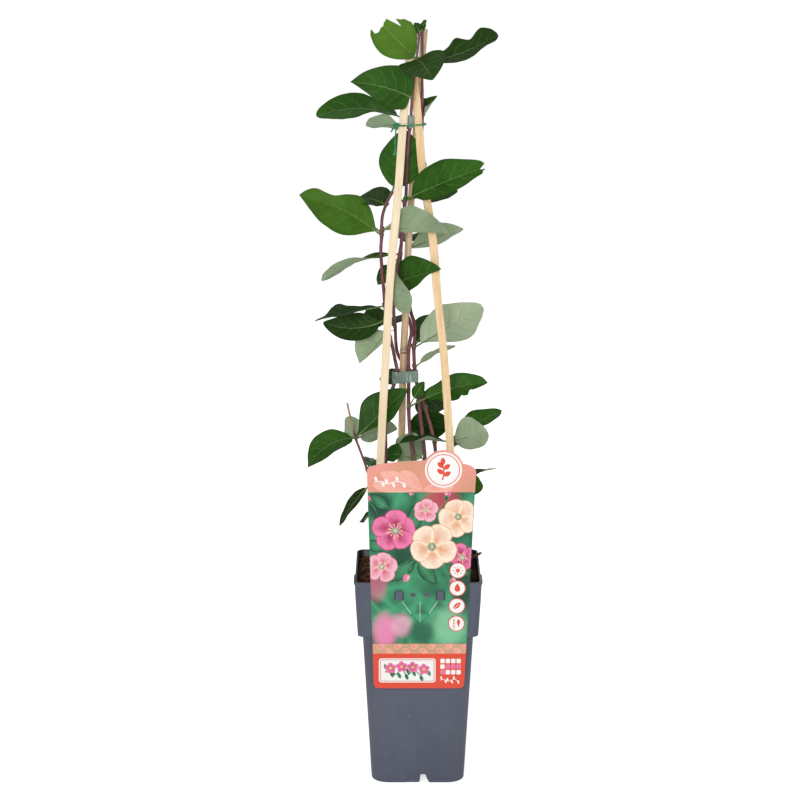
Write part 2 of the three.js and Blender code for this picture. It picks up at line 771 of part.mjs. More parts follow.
// Rows of six points, three on the upper face and three below them, both faces split alike.
function bladeGeometry(points, count) {
  const index = [];
  const top = (k, j) => k * 6 + j;
  const bottom = (k, j) => k * 6 + 3 + j;
  const quad = (a, b, c, d) => index.push(a, b, c, a, c, d);
  const last = count - 1;
  for (let j = 0; j < 2; j++) {
    for (let k = 0; k < last; k++) {
      quad(top(k, j), top(k, j + 1), top(k + 1, j + 1), top(k + 1, j));
      index.push(bottom(k, j), bottom(k + 1, j + 1), bottom(k, j + 1));
      index.push(bottom(k, j), bottom(k + 1, j), bottom(k + 1, j + 1));
    }
    quad(top(0, j), bottom(0, j), bottom(0, j + 1), top(0, j + 1));
    quad(top(last, j), top(last, j + 1), bottom(last, j + 1), bottom(last, j));
  }
  for (let k = 0; k < last; k++) {
    quad(top(k, 0), top(k + 1, 0), bottom(k + 1, 0), bottom(k, 0));
    quad(top(k, 2), bottom(k, 2), bottom(k + 1, 2), top(k + 1, 2));
  }
  const geometry = new THREE.BufferGeometry().setFromPoints(points);
  geometry.setIndex(index);
  return geometry;
}

function stemSolid(stem, grow) {
  const radiusAt = (share) => stem.radius + (stem.tipRadius - stem.radius) * share ** 2 + grow;
  return rod(stem.path, radiusAt, stemSides, Math.round(stem.path.length * stemStepsPerPoint));
}

function leafyStemSolid(stem) {
  const curve = smooth(stem.path);
  const leaves = stem.leaves.map((leaf) => leafSolid(pointAtHeight(curve, leaf.z), leaf));
  return joined([stemSolid(stem, 0), ...leaves]);
}

// ---- Soil ----

function soilSolid() {
  const random = seeded(soil.seed);
  const bump = () => (random() * 2 - 1) * soil.bumps;
  const floorTop = pot.floor.under + pot.floor.thick + clearance;
  const rings = insideRings(clearance, floorTop, soil.level - soil.bumps);
  const edge = rings.at(-1);
  for (const share of soil.rings)
    rings.push(edge.map((p) => new THREE.Vector3(p.x * share, p.y * share, soil.level + bump())));
  const holes = Object.values(stems).map((stem) => stemSolid(stem, holeClearance));
  const canes = [splintSolid(leftSplint, holeClearance), splintSolid(rightSplint, holeClearance)];
  return cutBy(loft(rings), [...holes, ...canes, caneSolid(holeClearance)]);
}

// ---- Ties ----

// The outline of a band pulled tight round circles, each [x, y, radius].
function roundBand(circles, grow, sides) {
  const points = circles.flatMap(([x, y, radius]) => circle(x, y, radius + grow, sides));
  points.sort((a, b) => a.x - b.x || a.y - b.y);
  const turnsRight = (a, b, c) => (b.x - a.x) * (c.y - a.y) - (b.y - a.y) * (c.x - a.x) <= 0;
  const halfHull = (list) => {
    const hull = [];
    for (const point of list) {
      while (hull.length > 1 && turnsRight(hull.at(-2), hull.at(-1), point)) hull.pop();
      hull.push(point);
    }
    return hull.slice(0, -1);
  };
  return [...halfHull(points), ...halfHull([...points].reverse())];
}

function tapeSolid({ held, low, high }) {
  const ring = (grow, z) => roundBand(held, grow, tape.sides).map((p) => new THREE.Vector3(p.x, p.y, z));
  const outer = loft([ring(tape.clear + tape.thick, low), ring(tape.clear + tape.thick, high)]);
  const inner = loft([ring(tape.clear, low - past), ring(tape.clear, high + past)]);
  return outer.subtract(inner);
}

function twineSolid() {
  const { radius, z, sides, steps, clear, held, knot, tails, tailBow } = twine;
  const outline = roundBand(held, radius + clear, 8).map((p) => new THREE.Vector3(p.x, p.y, z));
  const loop = new THREE.CatmullRomCurve3(outline, true, "centripetal");
  const points = [];
  const index = [];
  for (let k = 0; k < steps; k++) {
    const middle = loop.getPoint(k / steps);
    const along = loop.getTangent(k / steps);
    const out = new THREE.Vector3(along.y, -along.x, 0).normalize();
    for (let i = 0; i < sides; i++) {
      const angle = (i / sides) * Math.PI * 2;
      const point = middle.clone().addScaledVector(out, radius * Math.cos(angle));
      points.push(point.setZ(middle.z + radius * Math.sin(angle)));
      const here = k * sides + i;
      const beside = k * sides + ((i + 1) % sides);
      const ahead = ((k + 1) % steps) * sides + i;
      const both = ((k + 1) % steps) * sides + ((i + 1) % sides);
      index.push(here, ahead, both, here, both, beside);
    }
  }
  const geometry = new THREE.BufferGeometry().setFromPoints(points);
  geometry.setIndex(index);
  const knotAt = [knot.x, knot.y, z];
  const ball = new THREE.SphereGeometry(knot.radius, 8, 6);
  ball.translate(...knotAt);
  const tailRods = tails.map((end) => {
    const half = knotAt.map((v, i) => (v + end[i]) / 2 - (i === 1 ? tailBow : 0));
    return rod([knotAt, half, end], () => radius, sides, 6);
  });
  return joined([solidOf(geometry), solidOf(ball), ...tailRods]);
}

// ---- Label card ----

// Points along an arc, both ends included.
function arc(x, y, radius, from, to, steps) {
  return Array.from({ length: steps + 1 }, (_, i) => {
    const angle = from + ((to - from) * i) / steps;
    return new THREE.Vector2(x + radius * Math.cos(angle), y + radius * Math.sin(angle));
  });
}

// The card's outline in its own plane: x across, y up from the foot of the card.
function cardOutline() {
  const { bottom, top, halfBottom, halfTop, centre, lean, corner, crown, disc } = card;
  const tall = top - bottom;
  const left = centre + lean / 2 - halfTop;
  const right = centre + lean / 2 + halfTop;
  const leftFoot = centre - lean / 2 - halfBottom;
  const rightFoot = centre - lean / 2 + halfBottom;
  const bump = arc(disc.x, disc.z - bottom, disc.radius, card.discFrom, card.discTo, 14);
  const point = (x, y) => new THREE.Vector2(x, y);
  const curve = (a, b, c) => new THREE.QuadraticBezierCurve(a, b, c).getPoints(5);
  const pull = point(right - card.shoulder.in, tall + card.shoulder.up);
  const rightShoulder = curve(point(right, tall), pull, bump[0]);
  const crest = point(left + halfTop * card.crest.at, tall + crown - card.crest.under);
  const leftShoulder = curve(bump.at(-1), crest, point(left + corner, tall + crown / 2));
  const leftCorner = curve(leftShoulder.at(-1), point(left, tall + crown / 3), point(left, tall));
  return [
    ...arc(leftFoot + corner, corner, corner, Math.PI, Math.PI * 1.5, 4),
    ...arc(rightFoot - corner, corner, corner, Math.PI * 1.5, Math.PI * 2, 4),
    ...rightShoulder.slice(0, -1),
    ...bump.slice(0, -1),
    ...leftShoulder.slice(0, -1),
    ...leftCorner,
  ];
}

// The card lies flat against the collar's sloping front and stands straight on past it.
function cardSolid() {
  const geometry = new THREE.ExtrudeGeometry(new THREE.Shape(cardOutline()), {
    depth: card.thick,
    bevelEnabled: false,
  });
  const slotHalf = card.slot.width / 2;
  const low = lug.z - card.bottom - card.slot.height / 2;
  const high = low + card.slot.height;
  const front = card.thick + past;
  const slots = lug.places.map((x) => box([x - slotHalf, low, -past], [x + slotHalf, high, front]));
  const { radius, places, z, sides } = card.eyelet;
  const eyelets = places.map((x) => upright(radius, -past, front, x, z - card.bottom, sides));
  const flat = cutBy(solidOf(geometry), [...slots, ...eyelets]);
  const slope = (pot.rim.half - pot.collar.half) / (pot.height - pot.collar.bottom);
  const lean = THREE.MathUtils.radToDeg(Math.atan(slope));
  return flat.rotate([90 + lean, 0, 0]).translate([0, -collarHalf(card.bottom) - clearance, card.bottom]);
}

// ---- Bark chip ----

function chipMesh(material) {
  const outline = new THREE.Shape(chip.outline.map(([x, y]) => new THREE.Vector2(x, y)));
  const geometry = new THREE.ExtrudeGeometry(outline, { depth: chip.thick, bevelEnabled: false });
  const mesh = new THREE.Mesh(geometry, material);
  mesh.rotation.set(...chip.tilt);
  mesh.position.set(...chip.place);
  return mesh;
}

// ---- The finished plant ----

const paint = (color, roughness) => new THREE.MeshStandardMaterial({ color, roughness, metalness: 0 });
const finishes = {
  pot: paint(0x4a4f5e, 0.45),
  soil: paint(0x3b2a1c, 0.95),
  wood: paint(0xe6cf9f, 0.7),
  bamboo: paint(0x9c7650, 0.55),
  twine: paint(0x0f7a4c, 0.7),
  tape: paint(0x9fb0a4, 0.35),
  card: paint(0xe98d7c, 0.35),
  bark: paint(0x5a3a24, 0.9),
  leaf: paint(0x2f5a24, 0.45),
};

const plant = new THREE.Group();

function place(name, solid, material) {
  const mesh = new THREE.Mesh(geometryOf(solid), material);
  mesh.name = name;
  plant.add(mesh);
}

place("pot", potSolid(), finishes.pot);
place("soil", soilSolid(), finishes.soil);
place("stick_left", splintSolid(leftSplint, 0), finishes.wood);
place("stick_right", splintSolid(rightSplint, 0), finishes.wood);
place("bamboo_cane", caneSolid(0), finishes.bamboo);
place("twine_tie", twineSolid(), finishes.twine);
place("tape_tie_upper", tapeSolid(tape.upper), finishes.tape);
place("tape_tie_lower", tapeSolid(tape.lower), finishes.tape);
place("label_card", cardSolid(), finishes.card);
for (const [name, stem] of Object.entries(stems)) place(name, leafyStemSolid(stem), finishes.leaf);

const barkChip = chipMesh(finishes.bark);
barkChip.name = "bark_chip";
plant.add(barkChip);

export default plant;
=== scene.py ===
import math
import random

import bpy
from mathutils import Matrix, Vector, noise


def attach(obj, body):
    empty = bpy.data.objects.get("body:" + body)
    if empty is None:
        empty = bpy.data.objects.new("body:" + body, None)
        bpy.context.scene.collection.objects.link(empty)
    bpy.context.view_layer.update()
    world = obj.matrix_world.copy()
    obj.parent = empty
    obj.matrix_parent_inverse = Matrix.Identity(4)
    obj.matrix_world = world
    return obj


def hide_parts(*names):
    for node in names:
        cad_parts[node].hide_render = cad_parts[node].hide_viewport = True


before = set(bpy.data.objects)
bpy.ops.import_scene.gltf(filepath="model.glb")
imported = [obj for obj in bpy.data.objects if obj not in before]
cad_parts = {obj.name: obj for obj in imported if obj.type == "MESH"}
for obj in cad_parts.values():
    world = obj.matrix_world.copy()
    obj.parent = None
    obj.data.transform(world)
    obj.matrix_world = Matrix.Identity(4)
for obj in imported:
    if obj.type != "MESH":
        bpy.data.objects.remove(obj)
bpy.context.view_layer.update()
print("frame loaded:", len(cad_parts), "nodes")

# All shapes below are worked out in millimetres and scaled once, where a piece is made.
mm = 0.001
turn = 2 * math.pi
quarters = ((1, 1), (-1, 1), (-1, -1), (1, -1))


def clamp(value, low=0.0, high=1.0):
    return max(low, min(high, value))


def smoothStep(value):
    share = clamp(value)
    return share * share * (3 - 2 * share)


def blendBetween(a, b, share):
    return a + (b - a) * share


def bell(off, width):
    return math.exp(-((off / width) ** 2))


def swell(share, belly, power):
    # rises from 0 to 1 where the share is at the belly, and falls to 0 again
    return math.sin(math.pi * share ** (math.log(0.5) / math.log(belly))) ** power


def interpolate(value, table):
    # straight lines between the (place, value) pairs of a table
    if value <= table[0][0]:
        return table[0][1]
    for (x0, y0), (x1, y1) in zip(table, table[1:]):
        if value <= x1:
            return y0 + (y1 - y0) * (value - x0) / (x1 - x0)
    return table[-1][1]


def curveThrough(value, rows, column):
    # a smooth curve through one column of rows that start with their place
    k = 0
    while k < len(rows) - 2 and value > rows[k + 1][0]:
        k += 1
    x0, x1, y0, y1 = rows[k][0], rows[k + 1][0], rows[k][column], rows[k + 1][column]
    before, after = rows[max(k - 1, 0)], rows[min(k + 2, len(rows) - 1)]
    share = clamp((value - x0) / (x1 - x0))
    rest = 1 - share
    slopeIn = (y1 - before[column]) / (x1 - before[0]) * (x1 - x0)
    slopeOut = (after[column] - y0) / (after[0] - x0) * (x1 - x0)
    between = y0 * rest * rest * (1 + 2 * share) + y1 * share * share * (3 - 2 * share)
    return between + share * rest * (rest * slopeIn - share * slopeOut)


def noiseAt(x, y, z, size):
    return noise.noise(Vector((x, y, z)) / size)


class SmoothPath:
    # a centripetal curve through points, open or closed

    def __init__(self, points, closed=False):
        self.points = [Vector(p) for p in points]
        self.closed = closed

    def at(self, share):
        points, count = self.points, len(self.points)
        place = (count if self.closed else count - 1) * share
        first = int(math.floor(place))
        if not self.closed:
            first = int(clamp(first, 0, count - 2))
        rest = place - first
        if self.closed:
            p0, p1, p2, p3 = (points[(first + k) % count] for k in (-1, 0, 1, 2))
        else:
            p1, p2 = points[first], points[first + 1]
            p0 = points[first - 1] if first > 0 else p1 * 2 - p2
            p3 = points[first + 2] if first + 2 < count else p2 * 2 - p1
        gaps = [max((b - a).length ** 0.5, 1e-4) for a, b in ((p0, p1), (p1, p2), (p2, p3))]
        slopeIn = (p1 - p0) / gaps[0] - (p2 - p0) / (gaps[0] + gaps[1]) + (p2 - p1) / gaps[1]
        slopeOut = (p2 - p1) / gaps[1] - (p3 - p1) / (gaps[1] + gaps[2]) + (p3 - p2) / gaps[2]
        slopeIn, slopeOut = slopeIn * gaps[1], slopeOut * gaps[1]
        third = p2 * 3 - p1 * 3 - slopeIn * 2 - slopeOut
        fourth = p1 * 2 - p2 * 2 + slopeIn + slopeOut
        return p1 + slopeIn * rest + third * rest**2 + fourth * rest**3

    def atHeight(self, z):
        low, high = 0.0, 1.0
        for _ in range(24):
            share = (low + high) / 2
            if self.at(share).z < z:
                low = share
            else:
                high = share
        return self.at(high), high

    def samples(self, count):
        return [self.at(k / count) for k in range(count if self.closed else count + 1)]


class Shape:
    # points, faces and what the materials read from them, gathered for one piece

    def __init__(self):
        self.points, self.faces, self.paint, self.place, self.tone = [], [], [], [], []

    def add(self, points, faces, paint=0, place=None, tone=0.0):
        start = len(self.points)
        self.points += [Vector(p) for p in points]
        self.faces += [[start + i for i in face] for face in faces]
        self.paint += paint if isinstance(paint, list) else [paint] * len(faces)
        self.place += place or [(0, 0, 0)] * len(points)
        self.tone += tone if isinstance(tone, list) else [tone] * len(points)

    def moved(self, matrix, start=0):
        for i in range(start, len(self.points)):
            self.points[i] = matrix @ self.points[i]


def ringFaces(rings, around, closed=False):
    # faces between rings of points that run anticlockwise seen from the last ring
    faces = []
    for k in range(rings if closed else rings - 1):
        ahead = (k + 1) % rings
        for i in range(around):
            j = (i + 1) % around
            faces.append((k * around + i, k * around + j, ahead * around + j, ahead * around + i))
    if not closed:
        faces.append(tuple(reversed(range(around))))
        faces.append(tuple((rings - 1) * around + i for i in range(around)))
    return faces


def loft(shape, rings, paint=0, tone=0.0, closed=False):
    around = len(rings[0])
    points = [p for ring in rings for p in ring]
    tones = [t for t in tone for _ in range(around)] if isinstance(tone, list) else tone
    shape.add(points, ringFaces(len(rings), around, closed), paint, None, tones)


def lofted(rings, paint=0, tone=0.0, closed=False):
    shape = Shape()
    loft(shape, rings, paint, tone, closed)
    return shape


def directionAt(points, k, closed):
    # the way a row of points runs at one of them
    last = len(points) - 1
    before = points[k - 1] if closed or k else points[k]
    after = points[(k + 1) % (last + 1)] if closed or k < last else points[k]
    return (after - before).normalized()


def tube(shape, middles, radii, sides, paint=0, tone=0.0, closed=False):
    # a round rod along points, whose frame is carried along without twist
    angles = [turn * i / sides for i in range(sides)]
    rings = []
    across = None
    for k, middle in enumerate(middles):
        along = directionAt(middles, k, closed)
        if across is None:
            across = along.orthogonal()
        across = (across - along * across.dot(along)).normalized()
        other = along.cross(across)
        radius = radii[k] if isinstance(radii, list) else radii
        rings.append([middle + across * radius * math.cos(a) + other * radius * math.sin(a) for a in angles])
    loft(shape, rings, paint, tone, closed)


def addObject(name, data):
    made = bpy.data.objects.new(name, data)
    bpy.context.scene.collection.objects.link(made)
    return made


def makePiece(name, shape, materials, replaced=(), sharp=40):
    mesh = bpy.data.meshes.new(name)
    mesh.from_pydata([p * mm for p in shape.points], [], shape.faces)
    for material in materials:
        mesh.materials.append(material)
    mesh.polygons.foreach_set("material_index", shape.paint)
    mesh.polygons.foreach_set("use_smooth", [True] * len(shape.faces))
    place = mesh.attributes.new("place", "FLOAT_VECTOR", "POINT")
    place.data.foreach_set("vector", [x for p in shape.place for x in p])
    mesh.attributes.new("tone", "FLOAT", "POINT").data.foreach_set("value", shape.tone)
    mesh.update()
    mesh.set_sharp_from_angle(angle=math.radians(sharp))
    piece = addObject(name, mesh)
    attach(piece, "root")
    if replaced:
        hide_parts(*replaced)
    return piece


def cutAway(piece, cutter, sharp=35):
    # takes a closed shape out of a piece and throws the cutter away
    mesh = bpy.data.meshes.new("cutter")
    mesh.from_pydata([p * mm for p in cutter.points], [], cutter.faces)
    tool = addObject("cutter", mesh)
    modifier = piece.modifiers.new("cut", "BOOLEAN")
    modifier.operation, modifier.object, modifier.solver = "DIFFERENCE", tool, "EXACT"
    bpy.context.view_layer.update()
    depsgraph = bpy.context.evaluated_depsgraph_get()
    cut = bpy.data.meshes.new_from_object(piece.evaluated_get(depsgraph))
    piece.modifiers.clear()
    piece.data = cut
    cut.polygons.foreach_set("use_smooth", [True] * len(cut.polygons))
    cut.set_sharp_from_angle(angle=math.radians(sharp))
    bpy.data.objects.remove(tool)


# Materials. Effects that several materials share are node groups; the shader stays in the material.


def rgb(code):
    # a colour code as linear red, green, blue and a full alpha
    parts = [int(code[i : i + 2], 16) / 255 for i in (1, 3, 5)]
    return tuple(v / 12.92 if v <= 0.04045 else ((v + 0.055) / 1.055) ** 2.4 for v in parts) + (1.0,)


class Wiring:
    # short ways to add and join nodes of one tree

    def __init__(self, tree):
        self.tree = tree

    def feed(self, socket, value):
        if isinstance(value, bpy.types.NodeSocket):
            self.tree.links.new(value, socket)
        elif isinstance(value, str):
            socket.default_value = rgb(value)
        else:
            socket.default_value = value

    def fill(self, made, values):
        for socket, value in zip(made.inputs, values):
            self.feed(socket, value)
        return made.outputs[0]

    def node(self, kind, settings=None, **inputs):
        made = self.tree.nodes.new(kind)
        for key, value in (settings or {}).items():
            setattr(made, key, value)
        for key, value in inputs.items():
            self.feed(made.inputs[key.replace("_", " ")], value)
        return made

    def math(self, operation, a, b=0.0, clamped=False):
        made = self.node("ShaderNodeMath", {"operation": operation, "use_clamp": clamped})
        return self.fill(made, (a, b))

    def times(self, a, b):
        return self.math("MULTIPLY", a, b)

    def plus(self, a, b):
        return self.math("ADD", a, b)

    def vectorMath(self, operation, a, b):
        return self.fill(self.node("ShaderNodeVectorMath", {"operation": operation}), (a, b))

    def scaled(self, vector, scale):
        return self.vectorMath("MULTIPLY", vector, scale)

    def mix(self, share, a, b):
        made = self.node("ShaderNodeMix", {"data_type": "RGBA"})
        for index, value in ((0, share), (6, a), (7, b)):
            self.feed(made.inputs[index], value)
        return made.outputs[2]

    def tint(self, color, mask, share, code):
        # lays a second colour over the first, by a share of the mask
        return self.mix(self.times(mask, share), color, code)

    def range(self, value, low, high, to0=0.0, to1=1.0, smooth=True):
        made = self.node("ShaderNodeMapRange", {"interpolation_type": "SMOOTHSTEP" if smooth else "LINEAR"})
        return self.fill(made, (value, low, high, to0, to1))

    def spread(self, value, low, high):
        # a noise that lies about one half, spread between two values
        return self.range(value, 0.3, 0.7, low, high)

    def ramp(self, value, stops):
        made = self.node("ShaderNodeValToRGB")
        elements = made.color_ramp.elements
        while len(elements) < len(stops):
            elements.new(0.5)
        for element, (place, code) in zip(elements, stops):
            element.position, element.color = place, rgb(code)
        return self.fill(made, (value,))

    def noise(self, vector, scale, detail=3.0, rough=0.55, distort=0.0):
        made = self.node("ShaderNodeTexNoise", Vector=vector, Scale=scale, Detail=detail)
        made.inputs["Roughness"].default_value = rough
        made.inputs["Distortion"].default_value = distort
        return made.outputs[0]

    def here(self):
        # the place in the row frame, in metres
        return self.node("ShaderNodeTexCoord").outputs["Object"]

    def group(self, name, **inputs):
        return self.node("ShaderNodeGroup", {"node_tree": bpy.data.node_groups[name]}, **inputs).outputs

    def mottle(self, first, second, specks, speckle, scale):
        return self.group("mottle", First=first, Second=second, Specks=specks, Speckle=speckle, Scale=scale)

    def attribute(self, name, output="Fac"):
        return self.node("ShaderNodeAttribute", {"attribute_name": name}).outputs[output]

    def split(self, vector):
        return self.node("ShaderNodeSeparateXYZ", Vector=vector).outputs

    def bump(self, height, distance):
        return self.node("ShaderNodeBump", Height=height, Distance=distance, Strength=1.0).outputs[0]


def makeGroup(name, inputs, outputs, build):
    tree = bpy.data.node_groups.new(name, "ShaderNodeTree")
    kinds = {"color": "NodeSocketColor", "value": "NodeSocketFloat"}
    for way, sockets in (("INPUT", inputs), ("OUTPUT", outputs)):
        for label, kind in sockets.items():
            tree.interface.new_socket(name=label, in_out=way, socket_type=kinds[kind])
    given = tree.nodes.new("NodeGroupInput").outputs
    made = tree.nodes.new("NodeGroupOutput").inputs
    wiring = Wiring(tree)
    for label, value in build(wiring, given).items():
        wiring.feed(made[label], value)


def makeMaterial(name, build):
    material = bpy.data.materials.new(name)
    material.use_nodes = True
    shader = material.node_tree.nodes["Principled BSDF"]
    wiring = Wiring(material.node_tree)
    for label, value in build(wiring).items():
        wiring.feed(shader.inputs[label], value)
    return material


def mottled(first, second, specks, speckle, scale, roughness, depth):
    # a plain matt finish with no more to it than the mottle
    def build(w):
        base = w.mottle(first, second, specks, speckle, scale)
        return {"Base Color": base["Color"], "Roughness": roughness, "Normal": w.bump(base["Fine"], depth)}

    return build


def mottleGroup(w, given):
    # two colours that drift into one another, with fine specks of a third
    place = w.here()
    broad = w.range(w.noise(place, given["Scale"], 4.0, 0.6), 0.34, 0.66)
    fine = w.noise(place, w.times(given["Scale"], 7.0), 3.0, 0.65)
    specks = w.range(fine, 0.6, 0.72)
    drift = w.mix(broad, given["First"], given["Second"])
    return {"Color": w.tint(drift, specks, given["Speckle"], given["Specks"]), "Fine": fine}


def fibreGroup(w, given):
    # long wavy fibres that run up the row frame
    stretched = w.scaled(w.here(), (1.0, 1.0, 0.035))
    wave = w.noise(w.here(), 18.0, 2.0)
    sway = w.node("ShaderNodeCombineXYZ", X=wave, Y=wave).outputs[0]
    shifted = w.vectorMath("ADD", stretched, w.scaled(sway, (0.0016, 0.0016, 0)))
    broad = w.noise(shifted, given["Scale"], 2.0, 0.5)
    fine = w.noise(shifted, w.times(given["Scale"], 3.6), 3.0, 0.6)
    lines = w.plus(w.times(broad, 0.6), w.times(fine, 0.4))
    return {"Lines": w.range(lines, 0.36, 0.64), "Height": lines}


def dustGroup(w, given):
    # pale specks and faint rubbed patches
    place = w.here()
    cells = w.node("ShaderNodeTexVoronoi", Vector=place, Scale=given["Scale"])
    dots = w.range(cells.outputs["Distance"], 0.05, 0.11, 1.0, 0.0)
    chosen = w.range(w.split(cells.outputs["Color"])[0], 0.78, 0.8)
    rubbed = w.range(w.noise(place, 34.0, 5.0, 0.7), 0.55, 0.78)
    scuffs = w.range(w.noise(w.scaled(place, (1.0, 1.0, 0.12)), 420.0, 3.0, 0.6), 0.62, 0.74)
    return {"Specks": w.times(dots, chosen), "Rubbed": w.times(rubbed, scuffs)}


def veinGroup(w, given):
    # midrib, side veins and the fine net of a leaf; place holds across, along and the half width in mm
    across, along, half = list(w.split(w.attribute("place", "Vector")))
    reach = w.math("ABSOLUTE", across)
    wide = w.times(w.range(along, 0.0, 1.0, 0.75, 0.16, smooth=False), given["Width"])
    midrib = w.range(w.math("DIVIDE", w.times(reach, half), wide), 0.55, 1.2, 1.0, 0.0)
    bend = w.plus(w.times(w.noise(w.here(), 110.0, 2.0), 0.04), w.times(w.noise(w.here(), 26.0), 0.16))
    swept = w.math("SUBTRACT", w.plus(along, bend), w.times(w.math("POWER", reach, 1.35), 0.24))
    phase = w.plus(w.times(swept, given["Count"]), w.times(w.math("SIGN", across), 0.21))
    off = w.math("ABSOLUTE", w.math("SUBTRACT", w.math("FRACT", phase), 0.5))
    fade = w.times(w.range(reach, 0.62, 0.97, 1.0, 0.0), w.range(along, 0.8, 0.95, 1.0, 0.0))
    veins = w.times(w.range(off, 0.035, 0.095, 1.0, 0.0), fade)
    cells = w.node("ShaderNodeTexVoronoi", {"feature": "DISTANCE_TO_EDGE"}, Vector=w.here(), Scale=430.0)
    net = w.range(cells.outputs["Distance"], 0.02, 0.12, 1.0, 0.0)
    height = w.plus(w.plus(midrib, w.times(veins, 0.7)), w.times(net, 0.14))
    return {"Midrib": midrib, "Veins": veins, "Net": net, "Height": height}


makeGroup(
    "mottle",
    {"First": "color", "Second": "color", "Specks": "color", "Speckle": "value", "Scale": "value"},
    {"Color": "color", "Fine": "value"},
    mottleGroup,
)
makeGroup("fibres", {"Scale": "value"}, {"Lines": "value", "Height": "value"}, fibreGroup)
makeGroup("dust", {"Scale": "value"}, {"Specks": "value", "Rubbed": "value"}, dustGroup)
makeGroup(
    "leafVeins",
    {"Width": "value", "Count": "value"},
    {"Midrib": "value", "Veins": "value", "Net": "value", "Height": "value"},
    veinGroup,
)
print("node groups made")

# The pot

pot = dict(
    height=209, wall=1.4, cornerSteps=10,
    footHalf=45.6, footCorner=17, footBevel=1.6, bevelSteps=4, skirt=2.4, floor=9, floorThick=1.6,
    bodyHalf=53.8, bodyCorner=9, bodyTop=152.5, bodyRings=(12, 40, 75, 110, 140, 151.5),
    # the step out to the collar: how far past the body, height, corner, share of the bib
    step=[(0.1, 152.2, 9, 0), (1.2, 152.4, 8.6, 0), (2.8, 152.7, 8, 0.3)],
    collarHalf=57.5, collarCorner=7.5, collarBottom=157, collarRings=(153.4, 157, 172, 190),
    # the bead along the rim: how far below the top, how far out
    rimHalf=60.5, rimCorner=7, bead=[(4.4, -0.28), (3.2, 0.42), (0.8, 0.52), (0.15, -0.08)],
    # the inner wall behind the collar and the body: height, how much further in
    collarInside=[(208.9, -0.4), (208, 0.1), (180, 0.1), (160, 0.1)], bodyInside=(152.5, 80, 10.6),
    bibOut=1.2, bibStart=-30.5, bibSoft=0.6, bibBottom=158.5, sidePoint=6.0,
    drains=8, drainRing=27, drainRadius=4,
    # the foot notch and the plate inside it: x, z
    notch=[(-11.6, -1), (12.2, -1), (10.8, 1.5), (9, 4.5), (7.8, 8.2), (7.1, 9), (-8.6, 9), (-9.4, 8.3)],
    notchDeep=5, plate=[(-11.2, 0.4), (1, 0.4), (1.8, 1.4), (2.8, 9.3), (-9.2, 9.3)],
    plateBack=3.4, plateFront=0.9, padRadius=7,
    lugs=(-18.5, 21.6), lugWidth=7, lugHeight=6.6, lugZ=195.6, lugStand=0.6, lipRise=2.6, lipThick=1.4,
    # inside is the colour of the inner walls, painted darker as painted shade
    color="#575c6b", shade="#4f5463", dustColor="#8b8f9a", inside="#1d2025", roughness=0.42,
)
cardGap, cardThick = 0.3, 0.8


def cornerPoints(quarter, x, y, radius, steps):
    # one rounded corner of a rectangle, anticlockwise
    sx, sy = quarters[quarter]
    angles = [(quarter + step / steps) * math.pi / 2 for step in range(steps + 1)]
    return [(sx * x + radius * math.cos(a), sy * y + radius * math.sin(a)) for a in angles]


def squareRing(half, corner, z, bib=0.0):
    # a rounded square, with extra points on its straight sides where the front bib starts
    inner = half - corner
    start, end, apart = pot["bibStart"], pot["bibStart"] - pot["bibSoft"], 0.3
    edges = [min(pot["sidePoint"], inner - apart), max(start, 2 * apart - inner), max(end, apart - inner)]
    ring = []
    for quarter in range(4):
        rounded = cornerPoints(quarter, inner, inner, corner, pot["cornerSteps"])
        ring += [Vector((x, y, z)) for x, y in rounded]
        if quarter == 1:  # down the left side
            ring += [Vector((-half, y, z)) for y in edges]
        if quarter == 3:  # up the right side
            ring += [Vector((half, y, z)) for y in reversed(edges)]
    for p in ring:
        if abs(p.x) > inner * 0.98:
            p.x += math.copysign(bib * pot["bibOut"] * smoothStep((start - p.y) / pot["bibSoft"]), p.x)
    return ring


def bodyHalf(z):
    return blendBetween(pot["footHalf"], pot["bodyHalf"], z / pot["bodyTop"])


def bodyCorner(z):
    return blendBetween(pot["footCorner"], pot["bodyCorner"], z / pot["bodyTop"])


def collarHalf(z):
    share = (z - pot["collarBottom"]) / (pot["height"] - pot["collarBottom"])
    return blendBetween(pot["collarHalf"], pot["rimHalf"], share)


def potShape():
    # from under the floor, round the foot, up the outside, over the rim and down the inside
    p = pot
    hollow, floor, bevel, wall = p["footHalf"] - p["skirt"], p["floor"], p["footBevel"], p["wall"]
    rings = []
    underside = [(hollow * 0.3, floor), (hollow - 1, floor), (hollow, floor - 1), (hollow - 1.6, 0.3)]
    for half, z in underside:
        rings.append(squareRing(half, (p["footCorner"] - p["skirt"]) * half / hollow, z))
    for k in range(p["bevelSteps"] + 1):
        angle = k / p["bevelSteps"] * math.pi / 2
        inward, z = bevel * (1 - math.sin(angle)), bevel * (1 - math.cos(angle))
        rings.append(squareRing(p["footHalf"] - inward, p["footCorner"] - inward, z))
    rings += [squareRing(bodyHalf(z), bodyCorner(z), z) for z in p["bodyRings"]]
    rings += [squareRing(p["bodyHalf"] + out, corner, z, bib) for out, z, corner, bib in p["step"]]
    rings += [squareRing(collarHalf(z), p["collarCorner"], z, 1) for z in p["collarRings"]]
    for drop, out in p["bead"]:
        z = p["height"] - drop
        rings.append(squareRing(collarHalf(z) + out, p["rimCorner"], z, 1))
    outside = len(rings)
    for z, inward in p["collarInside"]:
        rings.append(squareRing(collarHalf(z) - wall - inward, p["rimCorner"] - wall, z))
    rings += [squareRing(bodyHalf(z) - wall, bodyCorner(z) - wall, z) for z in p["bodyInside"]]
    rings.append(squareRing(20, 8, floor + p["floorThick"]))
    around = len(rings[0])
    # the rim top and the inside walls take the second material, painted darker as painted shade
    return lofted(rings, [0] * around * (outside - 1) + [1] * around * (len(rings) - outside) + [0, 1])


